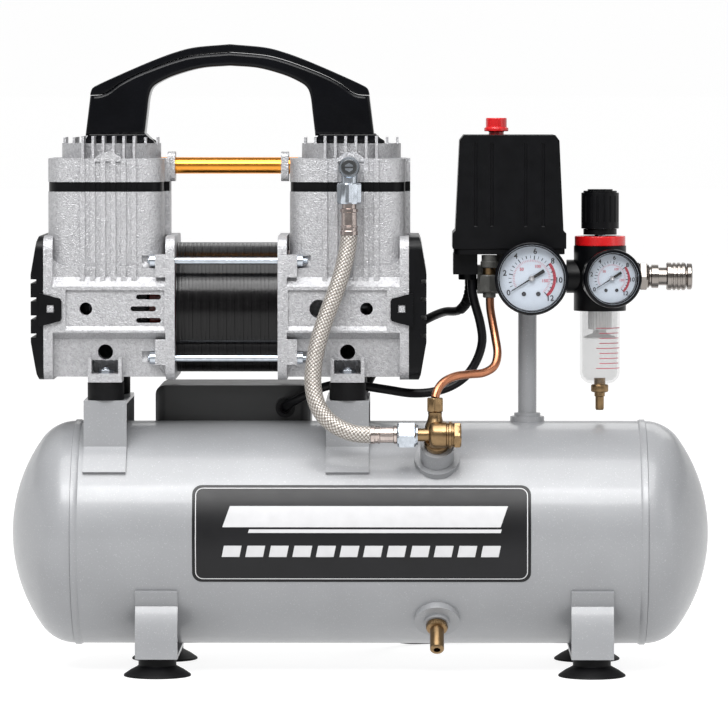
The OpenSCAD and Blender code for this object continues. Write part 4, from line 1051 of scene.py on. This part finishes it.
def make_filter():
    low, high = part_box("filter_bowl")
    axis = Matrix.Translation(((low.x + high.x) / 2, 0, 0))
    top, bottom, r, wall = high.z, low.z, 0.0145, 0.0018
    bowl = lathe_mesh("bowl_shell", [
        (bottom, 0.0042), (bottom, 0.0080), (bottom + 0.0012, 0.0105), (bottom + 0.0042, 0.0135),
        (bottom + 0.0075, r), (top, r), (top, r - wall), (bottom + 0.0082, r - wall),
        (bottom + 0.0050, 0.0118), (bottom + 0.0026, 0.0090), (bottom + 0.0018, 0.0042),
        (bottom, 0.0042)], axis, 96)
    finish_piece(bowl, "base", bowl_plastic(), crease=30)
    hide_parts("filter_bowl")
    marks = []
    for i in range(9):
        level = 0.2165 + 0.0036 * i
        spread = 84 if i % 4 == 0 else 66
        ring = [math.radians(-60 + spread * (t / 8 - 0.5)) for t in range(9)]
        outer, inner = r + 0.00012, r - 0.0001
        section = ((outer, -0.0003), (outer, 0.0003), (inner, 0.0003), (inner, -0.0003))
        points = [axis @ Vector((rr * math.cos(a), rr * math.sin(a), level + dz))
                  for rr, dz in section for a in ring]
        faces = [[row * 9 + t, row * 9 + t + 1, (row + 1) % 4 * 9 + t + 1, (row + 1) % 4 * 9 + t]
                 for row in range(4) for t in range(8)]
        faces += [[row * 9 for row in range(3, -1, -1)], [row * 9 + 8 for row in range(4)]]
        marks.append(mesh_object("mark", points, faces))
    finish_piece(merged("bowl_scale", marks), "base", dial_pink())
    pleats = lathe_mesh("pleats", [
        (0.2440, 0), (0.2440, 0.0080), (0.2448, 0.0085), (0.264, 0.0085), (0.264, 0)], axis, 96,
        ripple=lambda a, row: 1 - 0.05 * abs(math.sin(12 * a)))
    baffle = lathe_mesh("baffle", [
        (0.2400, 0), (0.2400, 0.0045), (0.2378, 0.0108), (0.2378, 0.0115), (0.2386, 0.0113),
        (0.2412, 0.0050), (0.2445, 0.0044), (0.2445, 0)], axis, 64)
    element = finish_piece(merged("filter_insert", [pleats, baffle]), "base", filter_white())
    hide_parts("filter_element")
    rows = [(0.186, 0.00125), (0.186, 0.0026), (0.1872, 0.0031), (0.1955, 0.0031), (0.1960, 0.0038),
            (0.1985, 0.0038), (0.1990, 0.0056), (0.1996, 0.0062), (0.2036, 0.0062), (0.2043, 0.0056),
            (0.2046, 0.0040), (0.2090, 0.0040), (0.2090, 0.00125), (0.186, 0.00125)]
    drain = lathe_mesh("bowl_drain_screw", rows, axis, 96,
                       ripple=lambda a, row: 1 - 0.06 * abs(math.sin(15 * a)) if row in (7, 8) else 1)
    finish_piece(drain, "bowl_drain", brass())
    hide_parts("bowl_drain")


# ---------- capacitor box ----------

def make_box_panel():
    """A shallow moulded panel on the plain back of the capacitor box."""
    low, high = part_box("capacitor_box")
    middle = (low + high) / 2
    margin = 0.011

    def place(right, up, out):
        return (middle.x - right, high.y + out, middle.z + up)
    outline = rounded_box((high.x - low.x) / 2 - margin, (high.z - low.z) / 2 - margin, 0.006)
    panel = plate("capacitor_panel", outline, 0.0009, -0.0006, place)
    finish_piece(panel, "base", box_grey(), 0.0004)


# ---------- the CAD parts that keep their shape ----------

# The plug's origin, its direction, and how far its body reaches before the pins.
PLUG_AT = Vector((0.024, 0.232, 0.0104))
PLUG_TURN = math.radians(231)
PLUG_BODY = 0.0502


# Material, bevel width, bevel segments and nodes.
DRESSED = (
    (tank_paint, 0.0006, 2, ("tank_shell", "tank_heads", "foot_cradles", "pump_brackets")),
    (tank_paint, 0.0005, 2, ("manifold",)),
    (casting, 0.0009, 2, ("crankcase_left", "crankcase_right")),
    (casting, 0.0007, 2, ("cylinder_head_left", "cylinder_head_right")),
    (casting, 0.0004, 2, ("con_rod_left", "con_rod_right", "piston_left", "piston_right")),
    (black_plastic, 0.0005, 2, ("end_cover_left", "end_cover_right", "valve_plates", "switch_base",
                                "cooling_fans", "cable_glands", "regulator_body", "regulator_knob")),
    (black_plastic, 0.0009, 3, ("switch_cover",)),
    (rubber, 0.0007, 2, ("suction_feet", "isolators")),
    (zinc, 0.0004, 2, ("fasteners", "safety_pull", "regulator_spindle")),
    (steel, 0.0003, 2, ("rotor", "shaft_bearings", "eccentrics", "cylinder_sleeves")),
    (brass, 0.0004, 2, ("safety_valve",)),
    (clear_plastic, 0.0003, 2, ("gauge_windows",)),
    (red_plastic, 0.0006, 2, ("switch_knob", "regulator_ring")),
    (winding, 0.0008, 2, ("windings",)),
    (anodised, 0.0003, 2, ("crossover_pipe",)),
    (box_grey, 0.0012, 3, ("capacitor_box",)),
    (black_plastic, 0.0006, 2, ("mains_plug",)))


def dress_parts():
    for material, bevel, segments, nodes in DRESSED:
        for node in nodes:
            dress(node, material(), bevel, segments)
    block = NODES["manifold"].data
    block.materials.append(manifold_grey())
    below_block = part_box("unloader_tube")[1].z - 0.0001
    for face in block.polygons:
        face.material_index = 1 if face.center.z > below_block else 0
    plug = NODES["mains_plug"].data
    plug.materials.append(zinc())
    along = Vector((math.cos(PLUG_TURN), math.sin(PLUG_TURN), 0))
    for face in plug.polygons:
        face.material_index = 1 if (face.center - PLUG_AT).dot(along) > PLUG_BODY else 0


# ---------- the whole scene ----------

def main():
    make_camera()
    make_studio()
    make_floor()
    make_cords()
    dress_parts()
    make_handle()
    make_gauge("large", "gauge_large", "large_pointer", 0.026, 0.0229, 0)
    make_gauge("small", "gauge_small", "small_pointer", 0.0208, 0.0174, 9)
    make_label()
    make_stator()
    make_tie_rods()
    make_hose_fittings()
    make_valve()
    make_tank_drain()
    make_coupler()
    make_filter()
    make_box_panel()


main()
